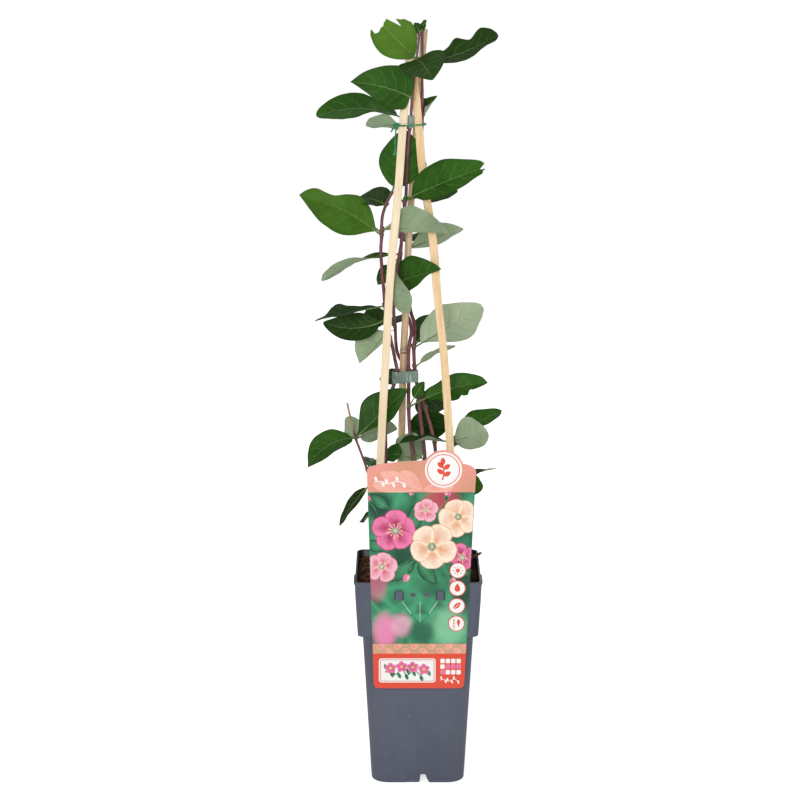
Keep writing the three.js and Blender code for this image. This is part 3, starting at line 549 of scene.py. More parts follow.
def boxShape(shape, low, high, bevel=0.35):
    # a block with softened edges, as four nested rings from bottom to top
    (x0, y0, z0), (x1, y1, z1) = low, high
    rings = []
    for z, inset in ((z0, bevel), (z0 + bevel, 0), (z1 - bevel, 0), (z1, bevel)):
        ring = []
        for x, y, sx, sy in ((x0, y0, 1, 1), (x1, y0, -1, 1), (x1, y1, -1, -1), (x0, y1, 1, -1)):
            pair = [Vector((x + sx * inset, y + sy * bevel, z)), Vector((x + sx * bevel, y + sy * inset, z))]
            ring += pair if sx == sy else reversed(pair)
        rings.append(ring)
    loft(shape, rings)


def onFourSides(shape, outline, depths):
    # an upright outline drawn through a span of depth, once on each side of the foot
    for side in range(4):
        start = len(shape.points)
        loft(shape, [[Vector((x, y - pot["footHalf"], z)) for x, z in outline] for y in depths])
        shape.moved(Matrix.Rotation(side * math.pi / 2, 4, "Z"), start)


def potCutters():
    shape = Shape()
    p = pot
    onFourSides(shape, p["notch"], (p["notchDeep"], -3))
    for k in range(p["drains"]):
        angle = (k + 0.5) / p["drains"] * turn
        x, y = p["drainRing"] * math.cos(angle), p["drainRing"] * math.sin(angle)
        ends = [Vector((x, y, z)) for z in (p["floor"] - 1, p["floor"] + p["floorThick"] + 1)]
        tube(shape, ends, p["drainRadius"], 20)
    return shape


def fittingsShape():
    # the plates in the foot notches, the pad under the floor and the two hooked lugs for the card
    shape = Shape()
    p = pot
    onFourSides(shape, p["plate"], (p["plateBack"], p["plateFront"]))
    pad = p["padRadius"]
    tube(shape, [Vector((0, 0, z)) for z in (0, 0.5, p["floor"] + 0.4)], [pad - 0.4, pad, pad], 32)
    face = collarHalf(p["lugZ"])
    outer = -face - cardGap - cardThick - cardGap - p["lugStand"]
    low, high = p["lugZ"] - p["lugHeight"] / 2, p["lugZ"] + p["lugHeight"] / 2
    for x in p["lugs"]:
        left, right = x - p["lugWidth"] / 2, x + p["lugWidth"] / 2
        boxShape(shape, (left, outer - 0.2, low), (right, 0.7 - face, high))
        boxShape(shape, (left, outer - p["lipThick"], low), (right, outer, high + p["lipRise"]), 0.5)
    return shape


def potPlastic(w):
    # moulded plastic: flow marks that run up the wall, a fine matt grain and a few pale specks
    color = w.mottle(pot["color"], pot["shade"], "#5d6271", 0.35, 14.0)
    dust = w.group("dust", Scale=120.0)
    flow = w.group("fibres", Scale=210.0)
    streaked = w.tint(color["Color"], flow["Lines"], 0.16, "#5f6474")
    specked = w.tint(streaked, dust["Specks"], 0.5, pot["dustColor"])
    rough = w.plus(w.times(color["Fine"], 0.16), w.times(dust["Rubbed"], 0.12))
    height = w.plus(w.times(w.noise(w.here(), 2600.0, 2.0), 0.3), w.times(flow["Height"], 0.5))
    return {
        "Base Color": w.tint(specked, dust["Rubbed"], 0.35, "#6d7280"),
        "Roughness": w.plus(rough, pot["roughness"]),
        "Specular IOR Level": 0.38,
        "Normal": w.bump(height, 0.00006),
    }


def potShadedInside(w):
    # painted shade: the rim top and the inside are painted darker than the outer plastic, a little dusty,
    # with splashes of compost
    dust = w.group("dust", Scale=160.0)
    flow = w.group("fibres", Scale=160.0)
    base = w.mottle(pot["inside"], "#2a2d33", "#4a3a2c", 0.5, 40.0)
    return {
        "Base Color": w.tint(base["Color"], dust["Specks"], 0.35, "#5c5148"),
        "Roughness": w.spread(flow["Height"], 0.3, 0.44),
        "Normal": w.bump(flow["Height"], 0.0001),
    }


potMaterial = makeMaterial("potPlastic", potPlastic)
potMaterials = [potMaterial, makeMaterial("potShadedInside", potShadedInside)]
cutAway(makePiece("nursery_pot", potShape(), potMaterials, ["pot"], 35), potCutters())
makePiece("pot_fittings", fittingsShape(), [potMaterial])
print("pot made")

# The compost

soil = dict(
    level=196, rings=34, gap=0.3, pointGap=2.4, seed=7,
    bumps=2.6, rough=0.75, roughSize=7, lumps=0.8, lumpSize=22,
    heap=8, heapFrom=24, heapRun=22, heapFront=-50, heapFrontRun=30,
    dip=1.6, dipFrom=0.86, edgeHalf=57,
    chips=560, chipSize=(0.8, 3.4), chipLong=1.9, chipWide=0.62, threads=420, threadLength=(5, 17),
    threadRadius=(0.13, 0.3), threadSway=0.6,
    dark="#1d120a", warm="#462a14", pale="#a86a34",
)


def soilHeight(x, y):
    s = soil
    rough = s["rough"] * noise.fractal(Vector((x, y, 0)) / s["roughSize"], 1.0, 2.0, 5)
    lumps = s["lumps"] * noiseAt(x, y, 3, s["lumpSize"])
    heaped = s["heap"] * smoothStep((abs(x) - s["heapFrom"]) / s["heapRun"])
    heaped *= smoothStep((y - s["heapFront"]) / s["heapFrontRun"])
    near = max(abs(x), abs(y)) / s["edgeHalf"]
    dip = s["dip"] * smoothStep((near - s["dipFrom"]) / (1 - s["dipFrom"]))
    return s["level"] + s["bumps"] * (rough + lumps) + heaped - dip


def splitSides(ring, counts):
    # a closed ring of points, with each of its sides split into a number of steps
    points = []
    for a, b, count in zip(ring, ring[1:] + ring[:1], counts):
        points += [a.lerp(b, k / count) for k in range(count)]
    return points


def soilShape():
    p, level = pot, soil["level"]
    drawn = p["wall"] + soil["gap"]
    rings = []
    for z in (p["floor"] + p["floorThick"] + soil["gap"], p["bodyTop"]):
        rings.append(squareRing(bodyHalf(z) - drawn, bodyCorner(z) - drawn, z))
    for z in (p["bibBottom"], level - 4):
        rings.append(squareRing(collarHalf(z) - drawn, p["collarCorner"] - drawn, z))
    edge = squareRing(collarHalf(level - 2) - drawn, p["rimCorner"] - drawn, 0)
    counts = [max(1, round((b - a).length / soil["pointGap"])) for a, b in zip(edge, edge[1:] + edge[:1])]
    rings = [splitSides(ring, counts) for ring in rings]
    edge = splitSides(edge, counts)
    for k in range(soil["rings"]):
        share = 1 - k / soil["rings"]
        flat = [(p.x * share, p.y * share) for p in edge]
        rings.append([Vector((x, y, soilHeight(x, y))) for x, y in flat])
    return lofted(rings)


def barkCrumbs(shape, rng, limit):
    rows, around = 4, 6
    for _ in range(soil["chips"]):
        x, y = rng.uniform(-limit, limit), rng.uniform(-limit, limit)
        size = rng.uniform(*soil["chipSize"])
        points = []
        for row in range(rows):
            wide = math.sin(math.pi * (row + 0.6) / (rows + 0.2))
            reach = size * (row / (rows - 1) - 0.5) * soil["chipLong"]
            for i in range(around):
                angle = turn * i / around
                out = size * (rng.uniform(0.7, 1.15) * wide)
                flat = rng.uniform(0.25, 0.4)
                points.append((reach, out * math.cos(angle) * soil["chipWide"], out * math.sin(angle) * flat))
        start = len(shape.points)
        shape.add(points, ringFaces(rows, around), 0, None, rng.uniform(0.0, 1.0))
        spin = Matrix.Rotation(rng.uniform(0, turn), 4, "Z") @ Matrix.Rotation(rng.uniform(-0.6, 0.6), 4, "Y")
        shape.moved(Matrix.Translation((x, y, soilHeight(x, y) + size * 0.12)) @ spin, start)


def coirThreads(shape, rng, limit):
    # pale threads of coir and fine root that lie between the crumbs
    sway = soil["threadSway"]
    for _ in range(soil["threads"]):
        x, y = rng.uniform(-limit, limit), rng.uniform(-limit, limit)
        angle, length = rng.uniform(0, turn), rng.uniform(*soil["threadLength"])
        points = []
        for k in range(6):
            share = k / 5 - 0.5
            px = clamp(x + length * share * math.cos(angle) + rng.uniform(-sway, sway), -limit - 1, limit + 1)
            py = clamp(y + length * share * math.sin(angle) + rng.uniform(-sway, sway), -limit - 1, limit + 1)
            lift = 0.5 + rng.uniform(0.2, 1.6) * (1 - 4 * share * share)
            points.append(Vector((px, py, soilHeight(px, py) + lift)))
        tube(shape, points, rng.uniform(*soil["threadRadius"]), 4, 1, rng.uniform(0.3, 1.0))


def compost(w):
    base = w.mottle(soil["dark"], soil["warm"], soil["pale"], 0.7, 160.0)
    return {
        "Base Color": w.mix(w.range(w.attribute("tone"), 0.1, 1.0, 0.0, 0.6), base["Color"], "#6d4526"),
        "Roughness": 0.92,
        "Specular IOR Level": 0.2,
        "Normal": w.bump(base["Fine"], 0.0012),
    }


rootThread = mottled("#8f5c34", "#643d20", "#bb8a58", 0.4, 300.0, 0.85, 0.0003)
compostMaterial = makeMaterial("compost", compost)
threadMaterial = makeMaterial("rootThread", rootThread)
makePiece("compost_bed", soilShape(), [compostMaterial], ["soil"], 70)
litter, litterDraws = Shape(), random.Random(soil["seed"])
barkCrumbs(litter, litterDraws, pot["rimHalf"] - 5)
coirThreads(litter, litterDraws, pot["rimHalf"] - 5)
makePiece("bark_crumbs", litter, [compostMaterial, threadMaterial])
print("compost made")

# Two split-wood splints and a bamboo cane

splint = dict(
    width=7.8, thick=4, round=0.7, cornerSteps=3, steps=90,
    uneven=0.035, shift=0.12, topRough=0.5, topLean=0.06,
)
splints = dict(
    left=dict(
        seed=3, pale="#fae8c9", warm="#f3dfbc", deep="#dfc196",
        path=[
            (-43.9, -41.3, 112), (-41, -36, 196), (-36.4, -28, 321), (-31.5, -22, 415), (-26.2, -16.3, 505),
            (-19.6, -11.9, 575), (-14.9, -7.7, 640), (-8.4, -3.6, 705), (-2.6, -2, 731),
        ],
    ),
    right=dict(
        seed=8, pale="#f6dcb2", warm="#eecd9f", deep="#d5a971",
        path=[
            (43, -42.4, 112), (39.5, -36, 196), (30.6, -25.2, 337), (24.4, -18.5, 425), (18.4, -14.4, 479),
            (13.8, -10.3, 533), (3.7, -5.1, 600), (0.2, -2.1, 640), (-2.4, 0, 668), (-6.6, 2.6, 700),
            (-13, 4.2, 722),
        ],
    ),
)
bamboo = dict(
    radius=3.9, topRadius=3.1, sides=28, step=3.0, fineStep=0.55, fineNear=5,
    rings=[140, 285, 420, 548, 668], ringRise=0.6, ringGroove=0.45, lowerRise=0.28, uneven=0.02,
    path=[
        (-28, 31, 62), (-21.5, 26.5, 196), (-15.9, 21.8, 334), (-14.4, 18.8, 410), (-12.2, 16.6, 455),
        (-9.2, 13.8, 530), (-5.8, 11.8, 583), (-1.6, 9.5, 645), (5.7, 6.6, 731),
    ],
)


def splintShape(path, seed):
    # split wood: slightly uneven faces, softened edges and a rough sawn top
    s = splint
    curve = SmoothPath(path)
    soft = s["round"]
    outline = []
    for quarter in range(4):
        outline += cornerPoints(quarter, s["width"] / 2 - soft, s["thick"] / 2 - soft, soft, s["cornerSteps"])
    rings = []
    for middle in curve.samples(s["steps"]):
        uneven = 1 + s["uneven"] * noiseAt(seed, 0, middle.z, 40)
        shift = s["shift"] * noiseAt(seed, 9, middle.z, 14)
        rings.append([Vector((middle.x + x * uneven + shift, middle.y + y, middle.z)) for x, y in outline])
    last = rings[-1]
    for i, p in enumerate(last):
        p.z += s["topRough"] * noiseAt(p.x, p.y, seed, 1.5) - s["topLean"] * abs(i - 7)
    rings.append([p.lerp(curve.at(1), 0.12) + Vector((0, 0, 0.15)) for p in last])
    return lofted(rings)


def splintWood(pale, warm, deep):
    def build(w):
        grain = w.group("fibres", Scale=330.0)
        base = w.mottle(pale, warm, deep, 0.12, 22.0)
        lined = w.tint(base["Color"], grain["Lines"], 0.42, deep)
        # painted shade: faces that turn to either side are painted darker, towards the deep colour
        facing = w.node("ShaderNodeNewGeometry").outputs["Normal"]
        paintedSideShade = w.range(w.math("ABSOLUTE", w.split(facing)[0]), 0.4, 0.9)
        return {
            "Base Color": w.tint(lined, paintedSideShade, 0.45, deep),
            "Roughness": w.spread(grain["Height"], 0.62, 0.8),
            "Specular IOR Level": 0.3,
            "Normal": w.bump(grain["Height"], 0.0002),
        }

    return build


for side, s in splints.items():
    wood = makeMaterial(side + "Wood", splintWood(s["pale"], s["warm"], s["deep"]))
    makePiece("splint_" + side, splintShape(s["path"], s["seed"]), [wood], ["stick_" + side])


def bambooShape():
    b = bamboo
    curve = SmoothPath(b["path"])
    start, end = b["path"][0][2], b["path"][-1][2]
    heights = [start]
    while heights[-1] < end:
        near = min(abs(heights[-1] - ring) for ring in b["rings"])
        heights.append(min(end, heights[-1] + (b["fineStep"] if near < b["fineNear"] else b["step"])))
    rings, tones = [], []
    for z in heights:
        middle, _ = curve.atHeight(z)
        radius = blendBetween(b["radius"], b["topRadius"], (z - start) / (end - start))
        dark = 0.0
        for off in (z - ring for ring in b["rings"]):
            radius += b["ringRise"] * bell(off - 0.9, 1.1) - b["ringGroove"] * bell(off + 0.9, 0.45)
            radius += b["lowerRise"] * bell(off + 2.6, 1.0)
            dark = max(dark, bell(off + 0.9, 0.8), 0.5 * bell(off - 3, 3))
        ring = []
        for i in range(b["sides"]):
            x, y = math.cos(turn * i / b["sides"]), math.sin(turn * i / b["sides"])
            out = radius * (1 + b["uneven"] * noiseAt(x * 4, y * 4, z, 9))
            ring.append(Vector((middle.x + out * x, middle.y + out * y, z)))
        rings.append(ring)
        tones.append(dark)
    rings.append([p.lerp(curve.at(1), 0.4) - Vector((0, 0, 0.2)) for p in rings[-1]])
    tones.append(0.8)
    return lofted(rings, 0, tones)


def bambooSkin(w):
    grain = w.group("fibres", Scale=420.0)
    base = w.mottle("#f8dcb4", "#e6c298", "#74503c", 0.5, 46.0)
    streaked = w.tint(base["Color"], grain["Lines"], 0.3, "#96705a")
    tall = w.scaled(w.here(), (1.0, 1.0, 0.2))
    stain = w.range(w.noise(tall, 95.0, 4.0, 0.7), 0.52, 0.74)
    return {
        "Base Color": w.mix(w.attribute("tone"), w.tint(streaked, stain, 0.45, "#7a5544"), "#4c3023"),
        "Roughness": w.spread(grain["Height"], 0.42, 0.58),
        "Normal": w.bump(grain["Height"], 0.00012),
    }


caneMaterial = makeMaterial("bambooSkin", bambooSkin)
makePiece("bamboo_middle", bambooShape(), [caneMaterial], ["bamboo_cane"], 60)
print("canes made")

# The bark chip that lies over the rim

chip = dict(
    outline=[(-13, -2.6), (-4, -3.6), (8, -3), (12.5, 0.4), (5, 3.4), (-9, 2.8)], edgeSteps=44,
    thick=2.2, layers=5, rough=0.1, faceTuck=0.82, edgeTuck=0.97, topShares=(0.55, 0.25),
    at=(53.6, 30, 206.6), tiltY=-0.5, tiltZ=0.1,
)


def chipShape():
    c = chip
    edge = SmoothPath([(x, y, 0) for x, y in c["outline"]], closed=True).samples(c["edgeSteps"])
    rings = []
    for k in range(c["layers"] + 1):
        z = c["thick"] * k / c["layers"]
        tuck = c["faceTuck"] if k in (0, c["layers"]) else c["edgeTuck"]
        ring = []
        for p in edge:
            rough = 1 + c["rough"] * noiseAt(p.x, p.y, z * 3, 2.2)
            lift = 0.35 * noiseAt(p.x, p.y, k, 2.6)
            ring.append(Vector((p.x * tuck * rough, p.y * tuck * rough, z + lift)))
        rings.append(ring)
    for share in c["topShares"]:
        flat = [(p.x * share, p.y * share) for p in edge]
        rings.append([Vector((x, y, c["thick"] + 0.5 * noiseAt(x, y, 5, 2.4))) for x, y in flat])
    shape = lofted(rings)
    tilt = Matrix.Rotation(c["tiltY"], 4, "Y") @ Matrix.Rotation(c["tiltZ"], 4, "Z")
    shape.moved(Matrix.Translation(c["at"]) @ tilt)
    return shape


barkSkin = mottled("#6b4226", "#4a2b18", "#a8794b", 0.6, 240.0, 0.88, 0.0008)
makePiece("rim_bark", chipShape(), [makeMaterial("barkSkin", barkSkin)], ["bark_chip"], 60)

# Green twine, and two bands of clinging tape

twine = dict(
    z=642.5, radius=0.8, slack=0.45, ply=0.46, pitch=4.2, color="#159a62", deep="#0b6b41", pale="#4fc592",
    # circles the loop is pulled tight round: x, y, radius
    held=[
        (-19, -9.8, 0.01), (-19, -5.6, 0.01), (-10.9, -9.8, 0.01), (4.1, -4.1, 0.01), (3.7, 7.4, 2.2),
        (-1.9, 9.7, 3.5),
    ],
    knot=(-21, -11.2, 642.5),
    tails=[
        [(-21, -11.2, 642.5), (-23.8, -13.2, 639.8), (-26, -13, 636)],
        [(-21, -11.2, 642.5), (-22, -13.2, 629), (-22.4, -12.4, 615)],
    ],
    loopSteps=260, tailSteps=46, knotSteps=110, curlSteps=40,
)
tapes = dict(
    clear=0.35, inside=0.1, outside=0.34, wrinkle=0.16, lap=0.12, lapAt=30, lapHalf=12, edgeRough=0.25,
    steps=160, rows=12, color="#8fa79b", shade="#71897e", pale="#dfe9e2",
    # each goes round circles: x, y, radius
    upper=dict(low=639.6, high=651.2, circles=[(-7.75, -5.05, 1.6), (-6.5, -4.8, 1.4)]),
    lower=dict(
        low=390.5, high=402,
        circles=[(-14.8, 19.4, 3.9), (-9.1, 12.9, 2.1), (-2.6, 15.9, 2.3), (-21.9, 8.8, 2.6)],
    ),
)


def roundBand(circles, grow, sides):
    # the outline of a band pulled tight round circles
    points = []
    for x, y, radius in circles:
        for i in range(sides):
            angle = turn * (i + 0.5) / sides
            points.append((x + (radius + grow) * math.cos(angle), y + (radius + grow) * math.sin(angle)))
    points.sort()

    def halfHull(ordered):
        hull = []
        for p in ordered:
            while len(hull) > 1:
                (ax, ay), (bx, by) = hull[-2:]
                if (bx - ax) * (p[1] - ay) - (by - ay) * (p[0] - ax) > 0:
                    break
                hull.pop()
            hull.append(p)
        return hull[:-1]

    return halfHull(points) + halfHull(points[::-1])


def twisted(shape, path, steps):
    # two plies that turn round a path
    middles = path.samples(steps)
    length = sum((b - a).length for a, b in zip(middles, middles[1:]))
    turns = max(1, round(length / twine["pitch"]))
    for ply in (0, math.pi):
        points = []
        for k, middle in enumerate(middles):
            along = directionAt(middles, k, path.closed)
            side = along.cross(Vector((0.1, 0.2, 1))).normalized()
            other = along.cross(side)
            angle = turn * turns * k / steps + ply
            points.append(middle + (side * math.cos(angle) + other * math.sin(angle)) * twine["ply"] * 0.86)
        tube(shape, points, twine["ply"], 8, 0, 0.0, path.closed)


def twineShape():
    shape = Shape()
    outline = roundBand(twine["held"], twine["radius"] + twine["slack"], 8)
    loop = [(x, y, twine["z"] + 0.5 * math.sin(x * 0.7)) for x, y in outline]
    twisted(shape, SmoothPath(loop, closed=True), twine["loopSteps"])
    for tail in twine["tails"]:
        twisted(shape, SmoothPath(tail), twine["tailSteps"])
    knot = []
    for a in (turn * k / 15 for k in range(15)):  # a small overhand knot
        x = 1.1 * (math.sin(a) + 1.5 * math.sin(2 * a))
        z = 1.0 * (math.cos(a) - 1.5 * math.cos(2 * a))
        knot.append(Vector(twine["knot"]) + Vector((x, 0.9 * -math.sin(3 * a), z)))
    twisted(shape, SmoothPath(knot, closed=True), twine["knotSteps"])
    curl = []
    for a in (turn * k / 9 for k in range(9)):  # the curled end of the long tail
        offset = Vector((0.9 * math.cos(a), 0.6 * math.sin(a), 1.2 * math.sin(a + 1) + 1))
        curl.append(Vector(twine["tails"][1][-1]) + offset)
    twisted(shape, SmoothPath(curl, closed=True), twine["curlSteps"])
    return shape


def twineThread(w):
    base = w.mottle(twine["color"], twine["deep"], twine["pale"], 0.5, 380.0)
    return {
        "Base Color": base["Color"],
        "Roughness": 0.6,
        "Sheen Weight": 0.3,
        "Normal": w.bump(w.noise(w.here(), 5200.0, 2.0), 0.00015),
    }


makePiece("green_twine", twineShape(), [makeMaterial("twineThread", twineThread)], ["twine_tie"], 60)


def tapeShape(band):
    # a thin strip round the stems, a little wrinkled, with its end lying over itself
    t = tapes
    outline = roundBand(band["circles"], t["clear"] + 0.1, 30)
    around = SmoothPath([(x, y, 0) for x, y in outline], closed=True).samples(t["steps"])
    middle = sum((Vector((x, y, 0)) for x, y in outline), Vector()) / len(outline)
    outer, inner = [], []
    for row in range(t["rows"] + 1):
        z = blendBetween(band["low"], band["high"], row / t["rows"])
        onEdge = row in (0, t["rows"])
        ringOut, ringIn = [], []
        for k, p in enumerate(around):
            away = (p - middle).normalized()
            wrinkle = t["wrinkle"] * noise.noise(Vector((p.x * 0.5, p.y * 0.5, z * 0.12 + p.x * 0.2)))
            lap = t["lap"] * smoothStep((t["lapHalf"] - abs(k - t["lapAt"])) / 2)
            height = z + t["edgeRough"] * noiseAt(p.x, p.y, row, 5) * onEdge
            ringOut.append(Vector((p.x, p.y, height)) + away * (t["outside"] + wrinkle + lap))
            ringIn.append(Vector((p.x, p.y, height)) + away * (t["inside"] + wrinkle))
        outer.append(ringOut)
        inner.append(ringIn)
    return lofted(outer + inner[::-1], closed=True)


def tapeFilm(w):
    base = w.mottle(tapes["color"], tapes["shade"], tapes["pale"], 0.5, 90.0)
    creases = w.noise(w.scaled(w.here(), (1.0, 1.0, 0.25)), 420.0, 3.0)
    return {
        "Base Color": w.mix(w.range(creases, 0.56, 0.7, 0.0, 0.6), base["Color"], tapes["pale"]),
        "Roughness": 0.26,
        "Alpha": 0.82,
        "Specular IOR Level": 0.6,
        "Normal": w.bump(creases, 0.0004),
    }


tapeMaterial = makeMaterial("tapeFilm", tapeFilm)
for place in ("upper", "lower"):
    makePiece("tape_" + place, tapeShape(tapes[place]), [tapeMaterial], ["tape_tie_" + place], 60)
print("ties made")

# The label card: a white plastic sheet with flat printed shapes laid on it

card = dict(
    bottom=101, top=321, halfBottom=44, halfTop=51.8, lean=1.9, centre=1.9, corner=5, crown=10.5,
    discX=23.7, discZ=322.5, discRadius=19.5, discFrom=0.32, discTo=2.64,
    slotWidth=8.8, slotHeight=9, toothHalf=1.6, toothTall=2.6, eyelets=(-5, 8), eyeletZ=197, eyeletRadius=2.6,
    picture=(147, 300), ply=0.007, inkBack=cardThick - 0.02, white="#f6f5f2",
)
cardSlope = math.atan((pot["rimHalf"] - pot["collarHalf"]) / (pot["height"] - pot["collarBottom"]))
cardUp = Vector((0, -math.sin(cardSlope), math.cos(cardSlope)))
cardOut = Vector((0, -math.cos(cardSlope), -math.sin(cardSlope)))
cardFoot = Vector((0, -collarHalf(card["bottom"]) - cardGap, card["bottom"]))


def onCard(x, z, out=0.0):
    # a point of the card: x across, z up from the floor, out in front of its back face
    return cardFoot + Vector((x, 0, 0)) + cardUp * (z - card["bottom"]) + cardOut * out


def throughCard(shape, outline, depths):
    loft(shape, [[onCard(x, z, out) for x, z in outline] for out in depths])


def arcPoints(x, z, radius, start, end, steps):
    angles = [start + (end - start) * k / steps for k in range(steps + 1)]
    return [(x + radius * math.cos(a), z + radius * math.sin(a)) for a in angles]


def bow(a, b, c, steps=8):
    # a curve from a to c that is drawn towards b
    points = []
    for t in (k / steps for k in range(steps + 1)):
        points.append(tuple((1 - t) ** 2 * p + 2 * t * (1 - t) * q + t * t * r for p, q, r in zip(a, b, c)))
    return points


def cardOutline():
    c = card
    tilt = c["lean"] / 2
    left, right = c["centre"] + tilt - c["halfTop"], c["centre"] + tilt + c["halfTop"]
    leftFoot, rightFoot = c["centre"] - tilt - c["halfBottom"], c["centre"] - tilt + c["halfBottom"]
    corner, top, foot, crown = c["corner"], c["top"], c["bottom"], c["crown"]
    disc = arcPoints(c["discX"], c["discZ"], c["discRadius"], c["discFrom"], c["discTo"], 40)
    shoulder = (left + corner, top + crown / 2)
    return (
        arcPoints(leftFoot + corner, foot + corner, corner, math.pi, math.pi * 1.5, 8)
        + arcPoints(rightFoot - corner, foot + corner, corner, math.pi * 1.5, math.pi * 2, 8)
        + bow((right, top), (right - 1.5, top + 6), disc[0])[:-1]
        + disc[:-1]
        + bow(disc[-1], (left + c["halfTop"] * 0.4, top + crown - 1), shoulder, 16)[:-1]
        + bow(shoulder, (left, top + crown / 3), (left, top))
    )


def cardShape():
    shape = Shape()
    throughCard(shape, cardOutline(), (0, 0.12, cardThick - 0.12, cardThick))
    return shape


def cardCutters():
    # a slot for each lug, with a small tooth of card at its foot, and two round eyelets
    shape = Shape()
    c = card
    half, tooth = c["slotWidth"] / 2, c["toothHalf"]
    foot, top = pot["lugZ"] - c["slotHeight"] / 2, pot["lugZ"] + c["slotHeight"] / 2
    for x in pot["lugs"]:
        slot = [(x - half, foot), (x - tooth, foot + 0.3), (x, foot + c["toothTall"])]
        slot += [(x + tooth, foot + 0.3), (x + half, foot), (x + half, top), (x - half, top)]
        throughCard(shape, slot, (-2, 3))
    for x in c["eyelets"]:
        throughCard(shape, arcPoints(x, c["eyeletZ"], c["eyeletRadius"], 0, turn * 23 / 24, 23), (-2, 3))
    return shape


def cardSides(z):
    share = (z - card["bottom"]) / (card["top"] - card["bottom"])
    middle = card["centre"] + card["lean"] * (share - 0.5)
    half = blendBetween(card["halfBottom"], card["halfTop"], share)
    return middle - half, middle + half


artwork = dict(
    # blossoms: x, z, size, ink, turn, layer
    blossoms=[
        (-22, 262, 23, "rose", 0.3, 0), (38, 276, 21, "cream", 0.7, 1), (13, 246, 25, "cream", 0.95, 2),
        (-35, 226, 17, "blush", 0.1, 1), (42, 235, 15, "rose", 0.5, 0), (7, 283, 13, "blush", 0.2, 3),
    ],
    # buds and leaves: x, z, angle, length
    buds=[
        (26, 292, 1.3, 14), (-44, 288, 2.2, 13), (-8, 222, -2.0, 13), (30, 218, -1.1, 13),
        (-6, 294, 1.7, 10),
    ],
    leaves=[
        (-4, 232, -2.4, 31), (0, 230, -0.9, 28), (28, 226, -0.35, 25), (-30, 244, 2.9, 24),
        (-6, 262, 1.35, 30), (22, 262, 0.9, 28), (-28, 284, 2.5, 24),
    ],
    # glows behind them: x, z, half width, half height, colour, share
    glows=[
        (-32, 160, 14, 22, "#f08bb6", 0.9), (-16, 166, 12, 14, "#f6b3cc", 0.7),
        (30, 165, 20, 24, "#8fd0a4", 0.75), (3, 158, 15, 14, "#245643", 0.8),
        (44, 205, 14, 34, "#1c4336", 0.85), (-38, 286, 16, 18, "#16342b", 0.9),
        (22, 293, 20, 12, "#c23f55", 0.85), (-12, 244, 26, 20, "#184634", 0.8),
        (26, 262, 24, 22, "#1c4a38", 0.75), (-40, 206, 12, 18, "#d9648f", 0.6),
        (14, 206, 22, 12, "#2c6b4d", 0.6),
    ],
    garden=[(0.3, "#1d4536"), (0.42, "#2b6b4c"), (0.54, "#45a173"), (0.66, "#35805b"), (0.8, "#214f3d")],
    head=[(0.35, "#d69a7c"), (0.5, "#e39a86"), (0.62, "#ee9d90"), (0.75, "#d99274")],
    icons=[222, 204, 186, 168], iconX=37.4, iconRadius=8,
)


def cardPrint(w):
    # the zones of the print by height: coral foot, a garden out of focus, a peach head
    place = w.split(w.here())
    x, z = w.times(place[0], 1000.0), w.times(place[2], 1000.0)
    soft = w.noise(w.here(), 16.0, 2.0, 0.5)
    garden = w.ramp(w.noise(w.here(), 30.0, 2.0, 0.45, 0.5), artwork["garden"])
    for toX, toZ, wide, tall, code, share in artwork["glows"]:
        dx = w.math("DIVIDE", w.math("SUBTRACT", x, toX), wide)
        dz = w.math("DIVIDE", w.math("SUBTRACT", z, toZ), tall)
        far = w.plus(w.times(dx, dx), w.times(dz, dz))
        garden = w.tint(garden, w.range(far, 0.1, 1.2, 1.0, 0.0), share, code)
    low, high = card["picture"]
    picture = w.mix(w.range(z, high - 0.15, high + 0.15), garden, w.ramp(soft, artwork["head"]))
    coral = w.mix(soft, "#e8543e", "#df4a37")
    printed = w.mix(w.range(z, low - 0.15, low + 0.15), coral, picture)
    facing = w.node("ShaderNodeNewGeometry").outputs["Normal"]
    front = w.range(w.times(w.split(facing)[1], -1.0), 0.8, 0.9)
    return {
        "Base Color": w.mix(front, card["white"], printed),
        "Roughness": w.spread(soft, 0.3, 0.4),
        "Specular IOR Level": 0.3,
        "Normal": w.bump(w.noise(w.here(), 60.0, 2.0), 0.0003),
    }


cardMaterial = makeMaterial("cardPrint", cardPrint)
cutAway(makePiece("label_card_sheet", cardShape(), [cardMaterial], ["label_card"], 35), cardCutters())


